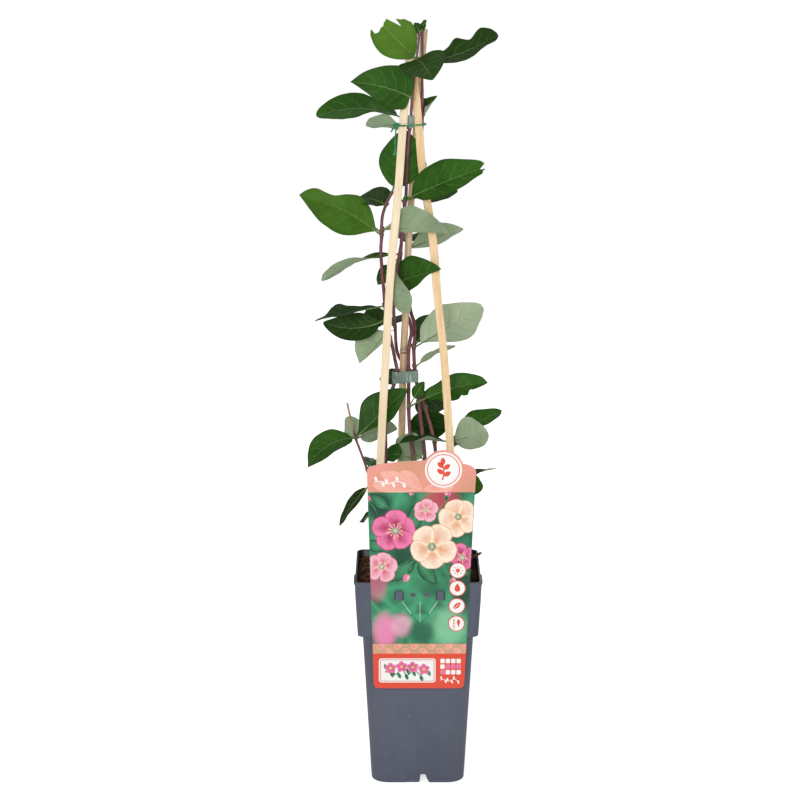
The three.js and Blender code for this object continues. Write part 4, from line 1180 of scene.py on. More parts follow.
class Print:
    # flat shapes on the front of the card, each level a hair in front of the last, cut off at its edges

    def __init__(self, low, high):
        self.shape = Shape()
        self.low, self.high = low, high

    def inside(self, x, z):
        z = clamp(z, self.low, self.high)
        left, right = cardSides(z)
        return clamp(x, left + 0.5, right - 0.5), z

    def fill(self, outline, ink, level, middle=None, tones=(0.0, 1.0), rings=3):
        # a shape seen whole from its middle; tone runs from the middle to the edge
        outline = [self.inside(x, z) for x, z in outline]
        count = len(outline)
        middle = middle or (sum(p[0] for p in outline) / count, sum(p[1] for p in outline) / count)
        cx, cz = self.inside(*middle)
        out = cardThick + card["ply"] * level
        points = [onCard(cx, cz, out)]
        tone = [tones[0]]
        for k in range(1, rings + 1):
            share = k / rings
            points += [onCard(cx + (x - cx) * share, cz + (z - cz) * share, out) for x, z in outline]
            tone += [blendBetween(tones[0], tones[1], share)] * count
        points += [onCard(x, z, card["inkBack"]) for x, z in outline] + [onCard(cx, cz, card["inkBack"])]
        tone += [tones[1]] * count + [tones[0]]
        faces = []
        for i in range(count):
            j = (i + 1) % count
            faces.append((0, 1 + i, 1 + j))
            for k in range(rings):
                a, b = 1 + k * count, 1 + (k + 1) * count
                faces.append((a + i, b + i, b + j, a + j))
            last = 1 + rings * count
            faces.append((last + i, len(points) - 1, last + j))
        self.shape.add(points, faces, inks.index(ink), None, tone)

    def disc(self, x, z, radius, ink, level, tones=(0.0, 1.0), sides=40):
        outline = arcPoints(x, z, radius, 0, turn * (sides - 1) / sides, sides - 1)
        self.fill(outline, ink, level, (x, z), tones)

    def panel(self, x0, z0, x1, z1, corner, ink, level, tones=(0.0, 1.0)):
        outline = []
        for quarter, (x, z) in enumerate(((x1, z1), (x0, z1), (x0, z0), (x1, z0))):
            cx = x - corner if quarter in (0, 3) else x + corner
            cz = z - corner if quarter in (0, 1) else z + corner
            outline += arcPoints(cx, cz, corner, quarter * math.pi / 2, (quarter + 1) * math.pi / 2, 6)
        self.fill(outline, ink, level, None, tones, 1)

    def stroke(self, points, width, ink, level, tones=(0.0, 1.0), taper=0.0):
        # a line of changing width, as a row of quads with closed edges
        last = len(points) - 1
        out, back = cardThick + card["ply"] * level, card["inkBack"]
        rings, tone = [], []
        for k, (x, z) in enumerate(points):
            x0, z0 = points[max(k - 1, 0)]
            x1, z1 = points[min(k + 1, last)]
            length = math.hypot(x1 - x0, z1 - z0) or 1
            half = width / 2 * (1 - taper * k / last)
            nx, nz = -(z1 - z0) / length * half, (x1 - x0) / length * half
            a, b = self.inside(x + nx, z + nz), self.inside(x - nx, z - nz)
            rings.append([onCard(*a, out), onCard(*b, out), onCard(*b, back), onCard(*a, back)])
            tone.append(blendBetween(tones[0], tones[1], k / last))
        loft(self.shape, rings, inks.index(ink), tone)

    def petal(self, x, z, angle, length, width, ink, level, tones=(0.0, 1.0), notch=0.0, belly=0.62):
        # out along one side to the tip and back along the other; notch dents the tip
        outline = []
        for k in range(28):
            share = k / 28
            side = 1 if share <= 0.5 else -1
            far = share * 2 if share <= 0.5 else 2 - share * 2
            half = width / 2 * swell(far, belly, 0.75) if 0 < far < 1 else 0
            dent = notch * max(0, far - 0.9) * 10 * (1 - min(1, half / width * 8))
            outline.append(stepTo(x, z, angle, length * (far - dent), -side * half))
        self.fill(outline, ink, level, stepTo(x, z, angle, length * 0.3), tones, 4)


# each ink runs from its first colour to its second as the tone rises
inkColors = dict(
    white=("#fbfaf8", "#f4f2ee"), coral=("#e8543e", "#e04c39"), rose=("#a81f52", "#ef7fae"),
    blush=("#d4567c", "#f7bcc9"), cream=("#e7a27c", "#fbe9d2"), leaf=("#1d5438", "#4c9b6d"),
    head=("#e5877c", "#f3b3a3"), dark=("#163a2b", "#285c44"), gold=("#dba62e", "#f6d774"),
    tan=("#c39a6e", "#d2a583"),
)
inks = list(inkColors)


def inkMaterial(first, second):
    def build(w):
        fine = w.noise(w.here(), 900.0, 3.0)
        patches = w.range(w.noise(w.here(), 150.0, 3.0), 0.35, 0.65, -0.16, 0.16)
        drift = w.math("ADD", w.attribute("tone"), patches, clamped=True)
        streaks = w.noise(w.scaled(w.here(), (1.0, 1.0, 0.3)), 420.0, 2.0)
        return {
            "Base Color": w.mix(w.range(streaks, 0.5, 0.75, 0.0, 0.22), w.mix(drift, first, second), second),
            "Roughness": w.spread(fine, 0.3, 0.38),
            "Specular IOR Level": 0.3,
        }

    return build


def stepTo(x, z, angle, reach, aside=0.0):
    # the point a reach away along an angle, and some way aside to its left
    return (
        x + reach * math.cos(angle) - aside * math.sin(angle),
        z + reach * math.sin(angle) + aside * math.cos(angle),
    )


def blossom(sheet, x, z, size, ink, lean, level):
    # five notched petals, each with a dark edge behind it and fine lines towards its foot
    for k in range(5):
        angle = lean + turn * k / 5 + 0.12 * math.sin(3 * k + x)
        long = size * (0.94 + 0.08 * math.sin(5 * k + z))
        layer = level + 2 * (k % 3 if k < 4 else 1)
        sheet.petal(x, z, angle, long * 1.03, size * 0.93, ink, layer, (-0.4, 0.25), 0.05)
        sheet.petal(x, z, angle, long, size * 0.86, ink, layer + 1, (0.05, 1.1), 0.06)
        for aside, reach in ((-0.16, 0.6), (0, 0.74), (0.16, 0.6)):
            line = [stepTo(x, z, angle, size * s * reach, size * aside * s) for s in (0.2, 0.6, 1.0)]
            sheet.stroke(line, 0.5, ink, level + 6, (0.0, 0.75), 0.85)
    sheet.disc(x, z, size * 0.16, "leaf", level + 7, (1.3, 0.5), 18)
    for k in range(11):
        tip = stepTo(x, z, lean + turn * (k + 0.5) / 11, size * (0.27 + 0.07 * (k % 2)))
        sheet.stroke([(x, z), tip], 0.4, "cream", level + 8, (0.6, 1.0))
        sheet.disc(*tip, size * 0.035, "gold", level + 9, (0, 1), 10)


def leafPrint(sheet, x, z, angle, length, level):
    start, tip = stepTo(x, z, angle, 0.4), stepTo(x, z, angle, length * 0.97, length * 0.02)
    sheet.petal(x, z, angle, length, length * 0.5, "dark", level, (0.6, -0.2), 0.0, 0.45)
    sheet.petal(*start, angle, length * 0.95, length * 0.44, "leaf", level + 1, (0.9, 0.15), 0.0, 0.45)
    sheet.stroke([(x, z), stepTo(x, z, angle, length * 0.5), tip], 0.6, "leaf", level + 2, (1.7, 1.5), 0.7)
    for s in (0.2, 0.34, 0.48, 0.62, 0.75):
        for side in (-1, 1):
            end = stepTo(x, z, angle, length * (s + 0.13), side * length * 0.17 * (1.1 - s))
            sheet.stroke([stepTo(x, z, angle, length * s), end], 0.32, "leaf", level + 2, (1.5, 1.1), 0.5)


def bud(sheet, x, z, angle, length, level):
    stalk = [stepTo(x, z, angle, -length * s, 2.4 * s * s) for s in (1.15, 0.7, 0.35, 0)]
    inner = stepTo(x, z, angle, 0.6, 0.8)
    sheet.stroke(stalk, 1.2, "leaf", level, (-0.3, 0.7))
    sheet.petal(x, z, angle, length, length * 0.46, "rose", level + 1, (0.3, 1.1))
    sheet.petal(*inner, angle + 0.08, length * 0.8, length * 0.2, "blush", level + 2, (0.4, 1.0), 0.0, 0.6)
    for side in (-0.35, 0, 0.35):
        sheet.petal(x, z, angle + side, length * 0.42, length * 0.16, "leaf", level + 3, (0.2, 0.9), 0.0, 0.5)


def sign(sheet, kind, x, z, level):
    # small round signs: sun, water, leaf and height
    sheet.disc(x, z, artwork["iconRadius"], "coral", level)
    sheet.disc(x, z, artwork["iconRadius"] - 0.8, "white", level + 1)
    level += 2
    if kind == 0:
        sheet.disc(x, z, 2.0, "coral", level, sides=20)
        for k in range(8):
            sheet.stroke([stepTo(x, z, turn * k / 8, r) for r in (2.9, 4.8)], 0.7, "coral", level)
    elif kind == 1:
        sheet.petal(x, z - 3.6, math.pi / 2, 8.4, 5.4, "coral", level, belly=0.34)
    elif kind == 2:
        sheet.petal(x - 3.4, z - 3.0, 0.75, 9.4, 4.6, "coral", level, belly=0.5)
        sheet.stroke([(x - 4.4, z - 4.0), (x + 2.0, z + 1.8)], 0.45, "white", level + 1)
    else:
        sheet.stroke([(x - 2.6, z - 4.6), (x - 2.6, z + 4.6)], 0.7, "coral", level)
        for dz in (-4.6, -2.3, 0, 2.3, 4.6):
            sheet.stroke([(x - 2.6, z + dz), (x - 0.8, z + dz)], 0.5, "coral", level + 1)
        sheet.petal(x + 2.0, z - 4.4, math.pi / 2, 8.8, 3.2, "coral", level, belly=0.7)


def garland(sheet, x0, x1, z, swing, size, stalkInk, flowerInk, level, count):
    # a waving stalk with leaves on both sides, and flowers where an ink is given for them
    vine = [(blendBetween(x0, x1, k / count), z + swing * math.sin(k * 0.9)) for k in range(count + 1)]
    sheet.stroke(vine, size * 0.14, stalkInk, level, (0.2, 0.6))
    for k in range(1, count, 2):
        angle = 1.9 if k % 4 == 1 else -1.2
        sheet.petal(*vine[k], angle, size, size * 0.5, stalkInk, level + 1, (0.2, 0.8), 0.0, 0.5)
    for k in range(3, count, 6) if flowerInk else ():
        x, top = vine[k][0], vine[k][1] + size * 0.45
        for petal in range(5):
            angle, layer = 0.4 + turn * petal / 5, level + 2 + (petal % 3 if petal < 4 else 1)
            sheet.petal(x, top, angle, size * 0.85, size * 0.7, flowerInk, layer, (0.3, 1.1))
        sheet.disc(x, top, size * 0.2, "gold", level + 5, sides=12)


def drawPicture(sheet):
    for k, leaf in enumerate(artwork["leaves"]):
        leafPrint(sheet, *leaf, 1 + 3 * (k % 4))
    for spray in artwork["buds"]:
        bud(sheet, *spray, 13)
    for *flower, layer in artwork["blossoms"]:
        blossom(sheet, *flower, 17 + 10 * layer)
    for kind, z in enumerate(artwork["icons"]):
        sign(sheet, kind, artwork["iconX"] + (z - 195) * 0.02, z, 57)
    # the thin fold lines of the pointed flap
    for x0, x1 in ((-15.2, 1.2), (18.4, 2.4)):
        for start, ink in ((0.0, "white"), (0.5, "dark")):
            ends = [(blendBetween(x0, x1, s), blendBetween(190, 166.5, s)) for s in (start, start + 0.5)]
            sheet.stroke(ends, 0.35, ink, 16, (0, 0))
    sheet.stroke([(1.8, 190), (1.8, 170)], 0.3, "white", 16)


def drawHead(sheet):
    # wide pale petals, a sprig, and a round badge with a thin ring and a twig
    petals = [(2.75, 44, 15), (3.05, 48, 14), (2.42, 28, 13), (0.12, 30, 13)]
    for k, (angle, length, width) in enumerate(petals):
        sheet.petal(4, 303, angle, length, width, "head", 1 + 2 * k, (0.5, 1.1), 0.0, 0.6)
        rib = [stepTo(4, 303, angle, length * s) for s in (0.1, 0.4, 0.75)]
        sheet.stroke(rib, 0.5, "head", 2 + 2 * k, (0.3, 0.8), 0.8)
    garland(sheet, -42, -12, 310, 1.2, 5.4, "white", None, 10, 12)
    x, z = card["discX"], card["discZ"]
    sheet.disc(x, z, 17.6, "white", 12, (0, 1), 64)
    sheet.stroke(arcPoints(x, z, 15.2, 0, turn, 64), 0.8, "coral", 13, (0.3, 0.3))
    twig = [(x - 1, z - 10), (x + 0.6, z - 4), (x, z + 2), (x - 0.8, z + 5)]
    sheet.stroke(twig, 1.6, "coral", 14, taper=0.4)
    for dx, dz, angle in ((0.2, -6, 0.55), (0.2, -4, 2.5), (0.2, 0.5, 0.7), (0, 2.0, 2.35), (-0.5, 4.5, 1.6)):
        sheet.petal(x + dx, z + dz, angle, 7.8, 4.6, "coral", 15, (0, 1), 0.0, 0.5)


def drawFoot(sheet):
    # a tan strip with petals, a white panel with a garland, a bloom calendar and a sprig below it
    sheet.panel(-60, 137, 60, sheet.high, 0.2, "tan", 2)
    for k in range(11):
        sheet.petal(-40 + 8.2 * k, 142, 0.5 * (-1) ** k, 9.0, 5.2, "head", 3 + k % 2, (0.1, 1.0), 0.0, 0.5)
    sheet.panel(-38, 107, 17, 132, 2.6, "white", 3)
    sheet.panel(-36.8, 108.2, 15.8, 130.8, 1.8, "coral", 4)
    sheet.panel(-36.2, 108.8, 15.2, 130.2, 1.4, "white", 5)
    garland(sheet, -32, 11, 117.5, 2.8, 7.0, "leaf", "rose", 6, 24)
    for k in range(12):
        x, z = 21.6 + (k % 4) * 5.2, 131.6 - (k // 4) * 5.8
        sheet.panel(x, z - 4.6, x + 4.2, z, 0.7, "rose" if 4 < k < 9 else "white", 3, (0.6, 1.0))
    garland(sheet, 21.6, 40, 109.4, 0.9, 3.6, "white", None, 3, 12)


def drawCard():
    whole = Shape()
    low, high = card["picture"]
    picture, head = Print(low + 0.2, high - 0.2), Print(high + 0.2, 345)
    foot = Print(card["bottom"] + 0.5, low - 0.2)
    for draw, sheet in ((drawPicture, picture), (drawHead, head), (drawFoot, foot)):
        draw(sheet)
        drawn = sheet.shape
        whole.add(drawn.points, drawn.faces, drawn.paint, drawn.place, drawn.tone)
    return whole


inkMaterials = [makeMaterial(name + "Ink", inkMaterial(*pair)) for name, pair in inkColors.items()]
makePiece("label_print", drawCard(), inkMaterials, (), 30)
print("card made")

# The six leafy stems. Each path is the points its middle runs through, from the soil up.
# A leaf row gives the height of its node, where its tip lies from there, its width and the way its
# upper side faces. arch and swing bow its midrib up and sideways, fold is the slope of its halves in
# degrees, belly the share of its length where it is widest, blunt how round its ends are. cut is the
# share of its length that is left, torn gives that across it, and sides gives the half widths on both
# hands at shares of its length. stalk is the stalk's length, and tone lightens or darkens the leaf:
# partly its own green, and partly painted shade on leaves that lie in shadow and painted light on lit ones.

blade = dict(
    stalk=6, belly=0.44, blunt=0.78, fold=14, fineRows=36, columns=8, crowd=0.85, leastHalf=0.35,
    wave=1.2, rows=[0.08, 0.26, 0.48, 0.7, 0.88, 1], waves=0.5, dents=0.5, dentSize=9, ragged=0.04,
    thick=0.42, edgeThick=0.16, groove=0.3, grooveHalf=1.1, ridge=0.5, ridgeHalf=0.7,
    pillow=0.13, laterals=6, sweep=0.24, stalkRadius=0.95, stalkTip=0.3, stalkSteps=10,
)
stem = dict(
    sides=14, steps=30, stepsPerPoint=9, rise=0.42, riseHalf=1.8,
    budRadius=0.85, budBelly=0.4, budSteps=6, hairs=260,
)


def leafRow(z, tip, wide, face, **more):
    return dict(z=z, tip=tip, wide=wide, face=face, **more)


vineA = dict(
    radius=2.1, tipRadius=1.5,
    path=[
        (-25, 3, 150), (-27, 2, 199), (-30, 0, 265), (-31.6, -2, 331), (-31.4, 0, 354), (-29, 4, 375),
        (-23.5, 8, 389), (-20.4, 9, 402), (-22.4, 8, 414), (-24.8, 5, 427), (-27.6, 1, 440),
        (-31, -2, 455), (-32, -4, 468), (-33, -5, 483), (-34.7, -6, 503), (-35.8, -7, 523),
        (-35, -7, 537), (-35, -6, 548), (-33.7, -4, 558), (-30, -2, 568), (-24.5, 1.5, 579),
    ],
    leaves=[
        leafRow(577, (12, 0, 61), 42, (0.08, -1, 0.05), arch=-2, swing=3, fold=2, tone=-0.02),
        leafRow(566, (-31, 26, 0), 36, (0.1, -0.5, 0.9), arch=5, stalk=1, belly=0.3, blunt=0.6,
            tone=-0.6),
        leafRow(537, (-78, -15, 41), 42, (0.1, -0.9, 0.5), arch=3, swing=5, stalk=8, tone=0.24,
            sides=[(0, 1, 1), (0.1, 9.5, 8.5), (0.2, 18, 15), (0.34, 25, 19), (0.47, 27, 15.5),
                (0.6, 24.5, 9), (0.7, 21.5, 8.5), (0.83, 15, 10), (0.93, 7, 6), (1, 0, 0)]),
        leafRow(543, (66, -32, 0), 27, (0, 0.97, 0.15), arch=10, stalk=2, fold=6, tone=-0.3,
            sides=[(0, 0.5, 1), (0.1, 1.5, 6.5), (0.22, 4, 18.5), (0.35, 4, 22), (0.5, 3.5, 19.5),
                (0.7, 2.5, 12), (0.82, 1.8, 8), (1, 0, 0)]),
        leafRow(469, (-67, -12, -13), 28, (0.1, -0.1, 1), arch=1, tone=-0.6,
            sides=[(0, 1, 1), (0.1, 6, 6), (0.3, 9, 9), (0.45, 11, 11), (0.56, 14, 18), (0.68, 13, 15),
                (0.8, 8, 8), (0.9, 4, 4), (1, 0, 0)]),
        leafRow(455, (-61, 6, -4), 29, (0, -0.9, 0.5), arch=-3, swing=-6, tone=-0.55),
        leafRow(444, (-28, -8, -31), 40, (0.2, 0.9, 0.3), stalk=3,
            sides=[(0, 3, 1), (0.15, 13, 3), (0.3, 20, 4), (0.5, 19.5, 3), (0.7, 16, 2), (0.85, 10, 1),
                (1, 0, 0)]),
        leafRow(540, (-54, 32, 24), 24, (-0.2, -0.3, 1), arch=4, stalk=14, tone=-0.6),
        leafRow(437, (-18, 54, -12), 28, (0, 0.2, 1), arch=5, stalk=16, tone=-0.5),
    ],
)
vineB = dict(
    radius=2.1, tipRadius=1.2,
    path=[
        (-6, -1, 150), (-5, -2, 199), (-5, 0, 260), (-4.8, 2, 317), (-7.7, 7, 341), (-9.1, 10.5, 366),
        (-9.1, 12.5, 386), (-9, 13, 402), (-9.2, 12.5, 418), (-8, 13, 431), (-6.4, 16, 439),
        (-7.8, 22.4, 448.5), (-12, 24.4, 458), (-17.8, 21, 470.5), (-18.6, 14.5, 486), (-17.8, 12, 501),
        (-17, 10, 516), (-16, 7.4, 531), (-14.2, 4.4, 556), (-12, 1, 571), (-11.3, -1.2, 590),
        (-10.2, -3.4, 618), (-8.3, -4.4, 638), (-7.1, -5.6, 648), (-6.9, -6.2, 655), (-6.4, -7.8, 664),
        (-5.6, -8.5, 674), (-3.5, -8.8, 690), (-2, -8.6, 705), (-0.5, -8.4, 716), (0.8, -8.2, 730),
        (-1, -8, 738),
    ],
    leaves=[
        leafRow(704, (-43, -10, 43), 41, (-0.2, -1, 0.4), arch=2, cut=0.72, belly=0.5, stalk=3, tone=0.5,
            torn=[(-1, 0.76), (-0.89, 0.8), (-0.78, 0.79), (-0.67, 0.73), (-0.31, 0.71), (0, 0.72),
                (0.31, 0.74), (0.43, 0.76), (0.5, 0.62), (0.555, 0.5), (0.67, 0.67), (0.78, 0.56),
                (0.89, 0.56), (1, 0.45)]),
        leafRow(704, (15, -46, -16), 45, (-0.3, -0.3, 1), arch=5, stalk=2, belly=0.5, tone=-0.5),
        leafRow(668, (-58, -15, 16), 42, (-0.05, -1, 0.1), arch=4, swing=3, stalk=2, tone=-0.3,
            sides=[(0, 10, 3), (0.04, 13, 10), (0.12, 15, 18), (0.3, 19, 23), (0.48, 16.5, 21),
                (0.65, 11, 16.5), (0.83, 5.5, 9.5), (1, 0, 0)]),
        leafRow(645.5, (-90, 16, 4), 34, (-0.1, -0.1, 1), faceTip=(-0.1, -0.8, 0.6), arch=8, swing=8,
            stalk=14, belly=0.54, blunt=0.58, tone=-0.05),
        leafRow(638.5, (-42, 25, 1), 26, (0, 0.6, 0.7), arch=3, stalk=12, tone=-0.1),
        leafRow(571, (81, -53, 39), 40, (-0.1, -0.95, 0.35), arch=5, cut=0.88, stalk=9, tone=-0.22,
            torn=[(-1, 0.9), (-0.6, 0.91), (-0.3, 0.89), (0, 0.86), (0.17, 0.86), (0.31, 0.9),
                (0.6, 0.89), (1, 0.87)],
            sides=[(0, 1, 1), (0.1, 11.5, 6.5), (0.2, 16.5, 10.5), (0.35, 20, 13), (0.5, 20, 13),
                (0.65, 15.5, 11), (0.8, 10.5, 7), (0.9, 6, 5), (1, 0, 0)]),
        leafRow(571, (50, 19, 6), 24, (0, -0.65, 0.75), stalk=10, tone=-0.3),
        leafRow(517, (-76, -14, -24), 28, (-0.15, -0.65, 0.75), faceTip=(-0.3, 0.9, 0.5), arch=10,
            stalk=10, tone=-0.25,
            sides=[(0, 1, 1), (0.15, 5, 5), (0.3, 6, 6), (0.45, 8, 9), (0.6, 10, 11), (0.75, 10, 10),
                (0.88, 7, 7), (0.95, 4, 4), (1, 0, 0)]),
        leafRow(490, (40, -35, 17), 38, (-0.55, -0.8, 0.05), arch=3, stalk=2, tone=-0.3,
            sides=[(0, 7, 5), (0.1, 14, 11), (0.25, 18, 12), (0.47, 20, 9), (0.6, 18.5, 5),
                (0.72, 15, 2.2), (0.87, 8.5, 1.2), (0.96, 3.5, 1), (1, 0, 0)]),
        leafRow(366, (77, -7, 26), 31, (0, -0.85, 0.55), arch=4, swing=-4, stalk=18, tone=-0.22,
            sides=[(0, 2, 1), (0.06, 7, 3), (0.22, 9, 9.5), (0.38, 11.5, 13), (0.54, 13, 13),
                (0.565, 13, 9.5), (0.6, 12.8, 11), (0.69, 12, 11), (0.715, 11.5, 6), (0.77, 10.5, 6.5),
                (0.86, 8.5, 5), (0.94, 5, 2.5), (1, 0, 0)]),
        leafRow(366, (15, -6, 27), 12, (0, -0.9, 0.4), arch=2, stalk=12, tone=-0.3),
        leafRow(316, (-29, 8, 1), 24, (0, -0.6, 0.8), arch=5, stalk=11, tone=0.1),
        leafRow(729, (-5, -5, 9), 9, (0, -0.9, 0.3), arch=1, stalk=1, tone=-0.4),
        leafRow(728, (5, 5, 10), 7, (0, -0.8, 0.6), arch=1, stalk=1, tone=-0.5),
    ],
)
vineC = dict(
    radius=2.1, tipRadius=1.2,
    path=[
        (6, 7, 150), (6, 5, 199), (7, 5, 260), (6.6, 6, 321), (4.4, 9, 341), (2.1, 12, 360), (0, 15, 382),
        (-2, 16, 394), (-3, 16, 402), (-4, 17, 425), (-2.6, 21.5, 438), (-4, 27, 448), (-6.8, 29.5, 457),
        (-8.7, 27.5, 469), (-9.7, 24, 485), (-9.7, 22.4, 500), (-8.8, 20.6, 529), (-6.9, 19.6, 554),
        (-5, 18.6, 578), (-2.4, 17.2, 602), (1.8, 14, 622), (3.6, 8.6, 639), (3.8, 4.6, 650),
        (3.8, 2, 664), (3.4, 1.2, 690), (3.6, 0.8, 710), (3.4, 0.8, 726), (4, 0.6, 737),
    ],
    leaves=[
        leafRow(700, (71, -7, 27), 28, (0.1, -0.5, 0.8), faceTip=(-0.5, -0.9, 0.7), arch=-5, tone=-0.65,
            sides=[(0, 1, 1), (0.12, 5, 6), (0.29, 10, 11.5), (0.42, 16.5, 13.5), (0.52, 13.5, 14),
                (0.62, 10.5, 13.5), (0.72, 14.5, 9), (0.81, 15, 5), (0.89, 11.5, 5.5), (0.96, 7, 5),
                (1, 1, 1)]),
        leafRow(700, (36, 34, 2), 30, (0, 0.1, 1), arch=4, tone=-0.6),
        leafRow(650, (14, 13, 18), 14, (0, 0, 1), fold=50, stalk=1, tone=-0.35,
            sides=[(0, 1, 3), (0.1, 5, 7.3), (0.3, 9, 5.2), (0.5, 7.3, 3), (0.7, 4.6, 1),
                (0.85, 2.2, 0.5), (1, 0, 0)]),
        leafRow(627, (-18, 50, -10), 22, (0, 0.1, 1), arch=4, tone=-0.5),
        leafRow(578, (-10, 52, 28), 36, (0, -0.5, 0.9), arch=5, tone=-0.5),
        leafRow(578, (38, 44, 8), 34, (0, -0.5, 0.9), arch=5, tone=-0.5),
        leafRow(521, (53, -3, 19), 35, (0, 0.75, 0.65), arch=3, swing=-2, stalk=2,
            sides=[(0, 2, 2), (0.1, 7, 7), (0.25, 11, 13), (0.45, 11.5, 16), (0.65, 10, 16), (0.8, 7, 12),
                (0.92, 3.5, 6), (1, 0, 0)]),
        leafRow(523, (4, 56, 2), 36, (0, 0.2, 1), arch=6, tone=-0.5),
        leafRow(424, (67, -4, 41), 45, (0, 0.95, 0.4), arch=1, stalk=9, tone=0.2,
            sides=[(0, 1, 3), (0.1, 4.5, 13), (0.2, 9.5, 17), (0.35, 19, 21), (0.5, 26, 23),
                (0.65, 25.5, 18.5), (0.8, 17, 13), (0.9, 11, 9), (0.97, 5, 5), (1, 2, 2)]),
        leafRow(425, (34, 44, 22), 34, (0, -0.2, 1), arch=6, tone=-0.4),
        leafRow(405, (40, 4, 20), 13, (0.4, 0.5, 0.8), arch=3, tone=-0.2),
        leafRow(314, (-28, 7.5, 20), 33, (0.1, 1, 0.12), arch=1, fold=3, stalk=4, belly=0.52),
        leafRow(734, (3, 3, 6), 4, (0, -0.8, 0.6), arch=1, stalk=1, tone=-0.6),
    ],
)
vineD = dict(
    radius=2, tipRadius=1.5,
    path=[
        (24, 12, 150), (22, 10, 199), (20, 9, 265), (16.4, 8, 330), (13.3, 11, 344), (7.6, 16.4, 363),
        (3.4, 21.4, 376), (-0.6, 23.6, 386), (-4.3, 25.4, 393), (-8.7, 27, 401), (-15.2, 27, 408),
        (-19.8, 24, 417), (-21.6, 18.5, 430), (-22, 14, 442), (-23.3, 10, 457), (-23.3, 8, 473),
        (-20.8, 7.5, 489), (-19.4, 4.8, 510), (-15.8, 0.6, 532), (-13.9, -2.7, 550), (-13.6, -5, 563),
        (-13.6, -6, 571),
    ],
    leaves=[
        leafRow(510, (-20, 13, -24), 17, (-0.3, -0.9, 0.4), arch=2, belly=0.42, blunt=1.15, tone=-0.5),
        leafRow(510, (11, -34, -44), 25, (0.4, 0.8, 0.3), arch=-9, swing=-2, stalk=8, belly=0.66,
            tone=-0.15),
        leafRow(452, (-40, 24, -12), 32, (0, -0.7, 0.7), arch=4, tone=-0.7),
        leafRow(398, (-31, 3, -8), 16, (0, -0.98, 0.2), stalk=9, tone=-0.6),
        leafRow(364, (8, 22, -36), 38, (0, -1, -0.1), stalk=2, fold=8, blunt=0.6, tone=-0.5),
        leafRow(380, (22, 30, -26), 34, (0, -1, -0.1), stalk=3, blunt=0.6, tone=-0.5),
        leafRow(330, (-6, 50, 8), 32, (0, -0.1, 1), arch=5, tone=-0.5),
        leafRow(446, (-12, 50, -2), 32, (0, 0, 1), arch=3, tone=-0.5),
        leafRow(569, (1.5, -2, 7), 3.4, (0, -0.9, 0.3), arch=1, stalk=1),
    ],
)
vineE = dict(
    radius=1.5, tipRadius=1.1, dryFrom=0.74,
    path=[
        (-32, -6, 150), (-34, -8, 199), (-39, -10, 245), (-44.8, -12, 289), (-49.6, -13, 309),
        (-56.3, -14, 329), (-60.6, -14, 341), (-65, -14, 359), (-68.6, -14, 376),
    ],
    leaves=[
        leafRow(341, (51, 14, 46), 32, (-0.3, -0.95, 0.25), arch=1, stalk=3, tone=-0.2,
            sides=[(0, 1, 1), (0.1, 5, 2), (0.2, 12, 4.5), (0.35, 19.5, 9), (0.5, 20, 12.5),
                (0.65, 16.5, 10.5), (0.8, 11, 6), (0.9, 6.5, 3.5), (1, 0, 0)]),
        leafRow(340, (40, 28, 4), 26, (0, 0.95, 0.25), arch=2, swing=2),
        leafRow(341, (-9, 18, 17), 21, (0.1, 0.9, 0.2), arch=1, stalk=1, blunt=0.55),
        leafRow(341, (-46, -14, -26), 33, (-0.3, -0.6, 0.8), arch=11, stalk=3, tone=-0.16),
        leafRow(309, (8, 30, 3), 20, (0, -0.5, 0.8), arch=3),
        leafRow(295, (-30.4, -8, -40.3), 15, (-0.5, -0.5, 0.6), arch=2, swing=1, belly=0.38, blunt=0.95,
            tone=-0.85),
        leafRow(279, (-14.5, 21, -28), 14, (-0.2, -0.4, 0.8), arch=-5, swing=-1, belly=0.5, tone=-0.6),
    ],
)
vineF = dict(
    radius=1.9, tipRadius=1.5,
    path=[
        (18, -2, 150), (20, -2, 199), (25, -3, 245), (28.4, -3, 286), (29.7, -4, 317), (30.6, -5, 340),
    ],
    leaves=[
        leafRow(336, (37, -3, 10), 41, (0, 0.9, 0.4), arch=2, swing=-2, stalk=5, belly=0.5, blunt=0.66,
            tone=0.15),
        leafRow(336, (52, 26, 25), 24, (0, -0.7, 0.7), arch=3, tone=-0.2,
            sides=[(0, 1, 1), (0.2, 7, 1.5), (0.4, 12, 3), (0.6, 12, 8), (0.8, 8, 7), (0.93, 4, 4),
                (1, 0, 0)]),
        leafRow(335, (-49, -20, 3), 28, (0, 0.08, 1), arch=3, tone=-0.5),
        leafRow(326, (30, 40, 2), 28, (0, 0.2, 1), arch=5, tone=-0.4),
        leafRow(284, (48.5, 9, 21.5), 16, (-0.1, 0.05, 1), arch=5, tone=-0.7),
        leafRow(276, (33.2, 22, 16.5), 26, (0.1, -0.85, 0.5), arch=3, tone=0.22,
            sides=[(0, 1, 1), (0.15, 7, 7), (0.4, 11.5, 11.5), (0.65, 12.5, 12.5), (0.82, 11, 11),
                (0.93, 7, 7), (1, 0, 0)]),
        leafRow(268, (20, 42, 2), 28, (0, 0, 1), arch=5, tone=-0.3),
    ],
)
vines = dict(a=vineA, b=vineB, c=vineC, d=vineD, e=vineE, f=vineF)


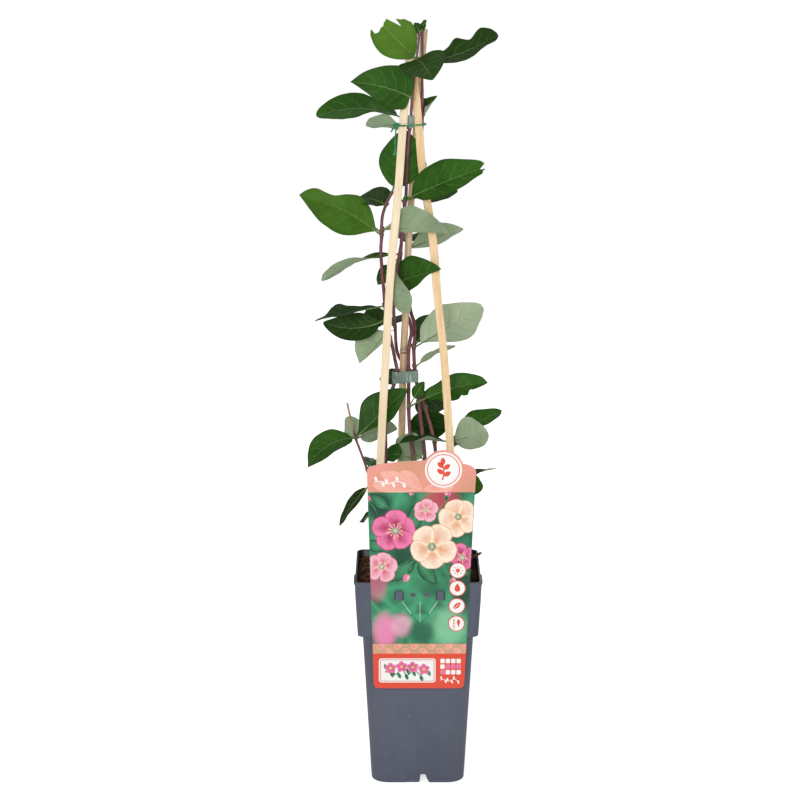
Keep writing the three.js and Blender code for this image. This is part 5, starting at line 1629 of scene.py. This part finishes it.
def leafCurve(node, leaf):
    # the midrib as a function of its share, with the way the upper side faces there
    tip = Vector(leaf["tip"])
    facing = Vector(leaf["face"]).normalized()
    facingTip = Vector(leaf.get("faceTip", leaf["face"])).normalized()
    chord = tip.normalized()
    up = (facing - chord * facing.dot(chord)).normalized()
    side = chord.cross(up)
    middle = node + tip * 0.5 + up * 2 * leaf.get("arch", 0) + side * 2 * leaf.get("swing", 0)
    end = node + tip

    def at(share):
        back = 1 - share
        point = node * back * back + middle * 2 * share * back + end * share * share
        along = ((middle - node) * back + (end - middle) * share).normalized()
        normal = facing.lerp(facingTip, share)
        normal = (normal - along * normal.dot(along)).normalized()
        return point, along, normal

    return at


def addLeaf(shape, node, leaf, rng):
    b = blade
    wanted = {key: leaf.get(key, b.get(key)) for key in ("stalk", "belly", "blunt", "fold", "torn", "sides")}
    cut, torn, sides = leaf.get("cut", 1), wanted["torn"], wanted["sides"]
    at = leafCurve(node, leaf)
    length = Vector(leaf["tip"]).length
    stalkShare = min(wanted["stalk"] / length, 0.4)
    slope = math.tan(math.radians(wanted["fold"]))
    # the row's tone, partly painted light and painted shade, with a little random variation
    tone = leaf.get("tone", 0.0) + rng.uniform(-0.12, 0.12)
    phase, seed = rng.uniform(0, turn), rng.uniform(0, 90)
    waves = b["waves"] * min(1, length / 50)
    ripples = [(0.0, math.sin(2.2 + leaf["z"]))]
    ripples += [(row * cut, math.sin((k + 2) * 2.2 + leaf["z"])) for k, row in enumerate(b["rows"])]
    columns = range(-b["columns"], b["columns"] + 1)
    edges = [math.copysign(abs(k / b["columns"]) ** b["crowd"], k) for k in columns]
    rows, wide = b["fineRows"], len(edges)
    top, under, places = [], [], []
    for k in range(rows + 1):
        grow = k / rows
        for edge in edges:
            # the blade's own length along this column, shorter where it is torn
            reach = cut if torn is None else interpolate(edge, torn)
            ragged = 0.0 if torn is None else b["ragged"] * noiseAt(edge * 9, seed, 0, 0.9) * grow**3
            inBlade = clamp(grow**0.94 * (reach + ragged), 0, 0.996)
            middle, along, normal = at(stalkShare + (1 - stalkShare) * inBlade)
            across = along.cross(normal)
            least = b["leastHalf"]
            if sides:
                half = max(least, curveThrough(inBlade, sides, 1 + (edge > 0)))
            else:
                half = least + (leaf["wide"] / 2 - least) * swell(inBlade, wanted["belly"], wanted["blunt"])
            out, far = edge * half, abs(edge)
            # how far the blade stands off its midrib: fold, ripples, waves and dents
            ripple = b["wave"] * half * 2 * interpolate(inBlade, ripples) / leaf["wide"]
            lift = far * half * slope + edge * ripple
            lift += waves * far**2 * math.sin(inBlade * 9 + phase + edge * 1.7) * 1.6
            lift += b["dents"] * noiseAt(out, inBlade * length, seed, b["dentSize"])
            veins = (inBlade - b["sweep"] * far**1.35) * b["laterals"] + math.copysign(0.22, edge)
            pillow = b["pillow"] * (0.5 + 0.5 * math.cos(turn * veins)) * smoothStep(far * 3) * (1 - far**3)
            groove = b["groove"] * bell(out, b["grooveHalf"]) * (1 - inBlade)
            ridge = b["ridge"] * bell(out, b["ridgeHalf"]) * (1 - inBlade) ** 1.2
            thick = blendBetween(b["thick"], b["edgeThick"], far**2)
            narrow = 0.5 * noiseAt(inBlade * length, seed, math.copysign(5, edge), 11) * far
            point = middle + across * (out + narrow * math.copysign(1, edge) * 0.6)
            top.append(point + normal * (lift + pillow - groove))
            under.append(point + normal * (lift + pillow * 0.8 - groove * 0.3 - thick - ridge))
            places.append((edge, inBlade, half))
    faces, paint = [], []
    base = len(top)
    for k in range(rows):
        for j in range(wide - 1):
            a = k * wide + j
            faces.append((a, a + 1, a + wide + 1, a + wide))
            faces.append((base + a, base + a + wide, base + a + wide + 1, base + a + 1))
            paint += [1, 2]
    rim = list(range(wide)) + [k * wide + wide - 1 for k in range(1, rows + 1)]
    rim += [rows * wide + j for j in range(wide - 2, -1, -1)] + [k * wide for k in range(rows - 1, 0, -1)]
    for a, c in zip(rim, rim[1:] + rim[:1]):
        faces.append((a, base + a, base + c, c))
        paint.append(1)
    shape.add(top + under, faces, paint, places * 2, tone)
    # the stalk, which runs on under the blade as its midrib
    steps = b["stalkSteps"]
    points, radii = [], []
    for k in range(steps + 1):
        share = (stalkShare + (1 - stalkShare) * 0.5 * min(cut, 0.9)) * k / steps
        middle, along, normal = at(share)
        inBlade = clamp((share - stalkShare) / (1 - stalkShare))
        points.append(middle - normal * (0.25 + 0.3 * smoothStep(inBlade * 8)))
        radius = blendBetween(b["stalkRadius"], b["stalkTip"], smoothStep(k / steps))
        radii.append(radius * min(1, length / 34))
    tube(shape, points, radii, 8, 3, tone)


def addBud(shape, node, out, ahead, length):
    # a small bud in the fork: a rod that swells and closes to a point at both ends
    base = node + out * 1.4
    tip = base + out * 1.5 + ahead * length
    shares = [(1 - math.cos(math.pi * k / stem["budSteps"])) / 2 for k in range(stem["budSteps"] + 1)]
    radius = stem["budRadius"]
    radii = [max(radius * swell(s, stem["budBelly"], 0.8), radius * 0.06) for s in shares]
    tube(shape, [base.lerp(tip, s) for s in shares], radii, 8, 3, 0.1)


def addHairs(shape, path, radius, rng):
    # fine pale hairs along the upper stem, each a thin spike with three sides
    points, faces = [], []
    for _ in range(stem["hairs"]):
        share = rng.uniform(0.3, 0.99)
        middle = path.at(share)
        along = path.at(min(share + 0.004, 1)) - middle
        out = (Matrix.Rotation(rng.uniform(0, turn), 4, along) @ along.orthogonal()).normalized()
        side = along.normalized().cross(out) * 0.05
        lift = along.normalized() * 0.05
        start = middle + out * (radius * 0.9)
        a, b, c, tip = range(len(points), len(points) + 4)
        points += [start + side, start - side, start + lift, start + out * rng.uniform(0.6, 1.2) + lift * 4]
        faces += [(a, b, c), (a, tip, b), (b, tip, c), (c, tip, a)]
    shape.add(points, faces, 4)


def addStem(shape, vine, rng):
    # the stem with a swelling and two buds at each node, and its hairs
    path = SmoothPath(vine["path"])
    nodes = [path.atHeight(leaf["z"]) for leaf in vine["leaves"]]
    steps = stem["steps"] + len(vine["path"]) * stem["stepsPerPoint"]
    besideNodes = [clamp(share + off) for _, share in nodes for off in (-0.002, 0.002)]
    shares = sorted([k / steps for k in range(steps + 1)] + besideNodes)
    middles = [path.at(share) for share in shares]
    seed = rng.uniform(0, 50)
    radii, tones = [], []
    for share, middle in zip(shares, middles):
        radius = vine["radius"] + (vine["tipRadius"] - vine["radius"]) * share**2
        near = min((middle - node).length for node, _ in nodes)
        uneven = 0.9 + 0.05 * noiseAt(middle.z, seed, 0, 9)
        radii.append(radius * uneven + stem["rise"] * bell(near, stem["riseHalf"]))
        dry = smoothStep((share - vine["dryFrom"]) / 0.1) if "dryFrom" in vine else 0
        tones.append(clamp(middle.z / 760 + 0.1 * noiseAt(middle.z, seed, 4, 30)) + dry)
    radii[-1] *= 0.55
    tube(shape, middles, radii, stem["sides"], 0, tones)
    for node, share in nodes:
        ahead = (path.at(min(share + 0.004, 1)) - node).normalized() if share < 0.99 else Vector((0, 0, 1))
        for _ in range(2):
            out = Matrix.Rotation(rng.uniform(0, turn), 4, ahead) @ ahead.orthogonal().normalized()
            addBud(shape, node, out, ahead, rng.uniform(2.0, 3.4))
    addHairs(shape, path, vine["radius"], rng)


def leafUpper(w):
    # deep green with a paler midrib, darker towards the edge, softly glossy;
    # the tone lightens or darkens each leaf, partly its own green and partly painted light and painted shade
    veins = w.group("leafVeins", Width=0.6, Count=6.0)
    tone = w.attribute("tone")
    across = w.split(w.attribute("place", "Vector"))[0]
    base = w.mottle("#284f12", "#34631a", "#1f3f0f", 0.3, 36.0)
    lighter = w.mix(w.range(tone, 0.0, 1.0), base["Color"], "#76a032")
    toned = w.mix(w.range(tone, 0.0, -1.0), lighter, "#1b290f")
    edged = w.mix(w.range(w.math("ABSOLUTE", across), 0.7, 1.05, 0.0, 0.3), toned, "#1f3d0e")
    veined = w.tint(w.tint(edged, veins["Net"], 0.07, "#5f8d3b"), veins["Veins"], 0.13, "#7ba352")
    return {
        "Base Color": w.tint(veined, veins["Midrib"], 0.42, "#a9c284"),
        "Roughness": w.spread(base["Fine"], 0.42, 0.54),
        "Specular IOR Level": 0.11,
        "Normal": w.bump(w.math("SUBTRACT", w.times(base["Fine"], 0.35), veins["Height"]), 0.00012),
    }


def leafUnder(w):
    # grey-green and matt, with raised darker veins;
    # the tone lightens or darkens each leaf, partly its own green and partly painted light and painted shade
    veins = w.group("leafVeins", Width=0.65, Count=6.0)
    tone = w.attribute("tone")
    base = w.mottle("#8a9e7b", "#98ab88", "#7c9471", 0.25, 44.0)
    lighter = w.mix(w.range(tone, 0.0, 0.4, 0.0, 0.7), base["Color"], "#bccaab")
    toned = w.mix(w.range(tone, 0.0, -1.0, 0.0, 0.8), lighter, "#5a7150")
    veined = w.tint(w.tint(toned, veins["Net"], 0.14, "#748b69"), veins["Veins"], 0.26, "#6a855e")
    return {
        "Base Color": w.tint(veined, veins["Midrib"], 0.32, "#b3c29c"),
        "Roughness": w.spread(base["Fine"], 0.62, 0.78),
        "Specular IOR Level": 0.25,
        "Sheen Weight": 0.2,
        "Normal": w.bump(w.plus(w.times(base["Fine"], 0.3), veins["Height"]), 0.00018),
    }


def stemBark(w):
    # brown and fibrous low down, plum higher up, pale and dry where a stub has died back
    tone = w.attribute("tone")
    grain = w.group("fibres", Scale=620.0)
    base = w.mottle("#864852", "#66323c", "#b08a90", 0.4, 120.0)
    woody = w.mix(w.range(tone, 0.56, 0.3), base["Color"], "#75493f")
    young = w.mix(w.range(tone, 0.88, 0.97), woody, "#7d6064")
    dry = w.mix(w.range(tone, 1.05, 1.4), young, "#a58f70")
    return {
        "Base Color": w.tint(dry, grain["Lines"], 0.3, "#43262c"),
        "Roughness": w.spread(grain["Height"], 0.3, 0.44),
        "Normal": w.bump(grain["Height"], 0.00016),
    }


def hairSilver(w):
    return {"Base Color": w.mottle("#c9b9b4", "#a89490", "#e0d6d0", 0.4, 200.0)["Color"], "Roughness": 0.6}


stalkGreen = mottled("#6f8f45", "#54733a", "#7a4a48", 0.35, 130.0, 0.5, 0.0002)
vineFinishes = dict(
    stemBark=stemBark, leafUpper=leafUpper, leafUnder=leafUnder, stalkGreen=stalkGreen, hairSilver=hairSilver,
)
vineMaterials = [makeMaterial(name, build) for name, build in vineFinishes.items()]
for letter, vine in vines.items():
    rng = random.Random(letter)
    vineShape = Shape()
    addStem(vineShape, vine, rng)
    vinePath = SmoothPath(vine["path"])
    for leaf in vine["leaves"]:
        addLeaf(vineShape, vinePath.atHeight(leaf["z"])[0], leaf, rng)
    makePiece("vine_" + letter, vineShape, vineMaterials, ["vine_stem_" + letter], 60)
    print("vine", letter, "made:", len(vineShape.faces), "faces")

# Floor, light and camera

studio = dict(
    floorHalf=60, floorColor="#f6f6f6", glow=0.24, seen=0.76, world=0.34,
    cameraAt=(-0.0175, -2.2, 0.833), pitch=0.205, lens=104.13, sensor=36, sight=200,
    lights=[  # name, place, aim, size, power
        ("key", (-0.6, -2.6, 1.35), (0, 0, 0.38), 1.3, 35),
        ("fill", (1.9, -2.0, 0.9), (0, 0, 0.35), 1.1, 8),
        ("top", (-0.3, 0.5, 2.4), (0, 0, 0.4), 1.2, 7),
        ("back", (0.9, 2.5, 1.3), (0, 0, 0.36), 1.4, 12),
    ],
)


def floorSurface(w):
    tint = w.mottle(studio["floorColor"], "#f5f5f5", "#f7f7f7", 0.2, 2.0)
    seen = w.node("ShaderNodeLightPath").outputs["Is Camera Ray"]
    return {
        "Base Color": tint["Color"],
        "Roughness": 0.9,
        "Specular IOR Level": 0.0,
        "Emission Color": tint["Color"],
        "Emission Strength": w.range(seen, 0.0, 1.0, studio["glow"], studio["seen"], smooth=False),
    }


floorMesh = bpy.data.meshes.new("studio_floor")
half = studio["floorHalf"]
floorMesh.from_pydata([(sx * half, sy * half, 0) for sx, sy in quarters], [], [(0, 1, 2, 3)])
floorMesh.materials.append(makeMaterial("floorSurface", floorSurface))
addObject("studio_floor", floorMesh)

for name, place, aim, width, power in studio["lights"]:
    lamp = bpy.data.lights.new(name, "AREA")
    lamp.shape, lamp.size, lamp.energy = "SQUARE", width, power
    light = addObject(name, lamp)
    light.location = place
    light.rotation_euler = (Vector(aim) - Vector(place)).to_track_quat("-Z", "Y").to_euler()

# The camera sees a white room that lights the plant only softly.
world = bpy.data.worlds.new("softRoom")
bpy.context.scene.world = world
world.use_nodes = True
room = Wiring(world.node_tree)
seen = room.node("ShaderNodeLightPath").outputs["Is Camera Ray"]
background = world.node_tree.nodes["Background"]
room.feed(background.inputs["Color"], "#ffffff")
room.feed(background.inputs["Strength"], room.range(seen, 0.0, 1.0, studio["world"], 1.0, smooth=False))
bpy.context.scene.view_settings.view_transform = "Standard"

lens = bpy.data.cameras.new("camera")
lens.lens, lens.sensor_width, lens.sensor_fit = studio["lens"], studio["sensor"], "HORIZONTAL"
lens.clip_end = studio["sight"]
camera = addObject("camera", lens)
camera.location = studio["cameraAt"]
camera.rotation_euler = (math.pi / 2 - studio["pitch"], 0, 0)
bpy.context.scene.camera = camera
print("studio ready")
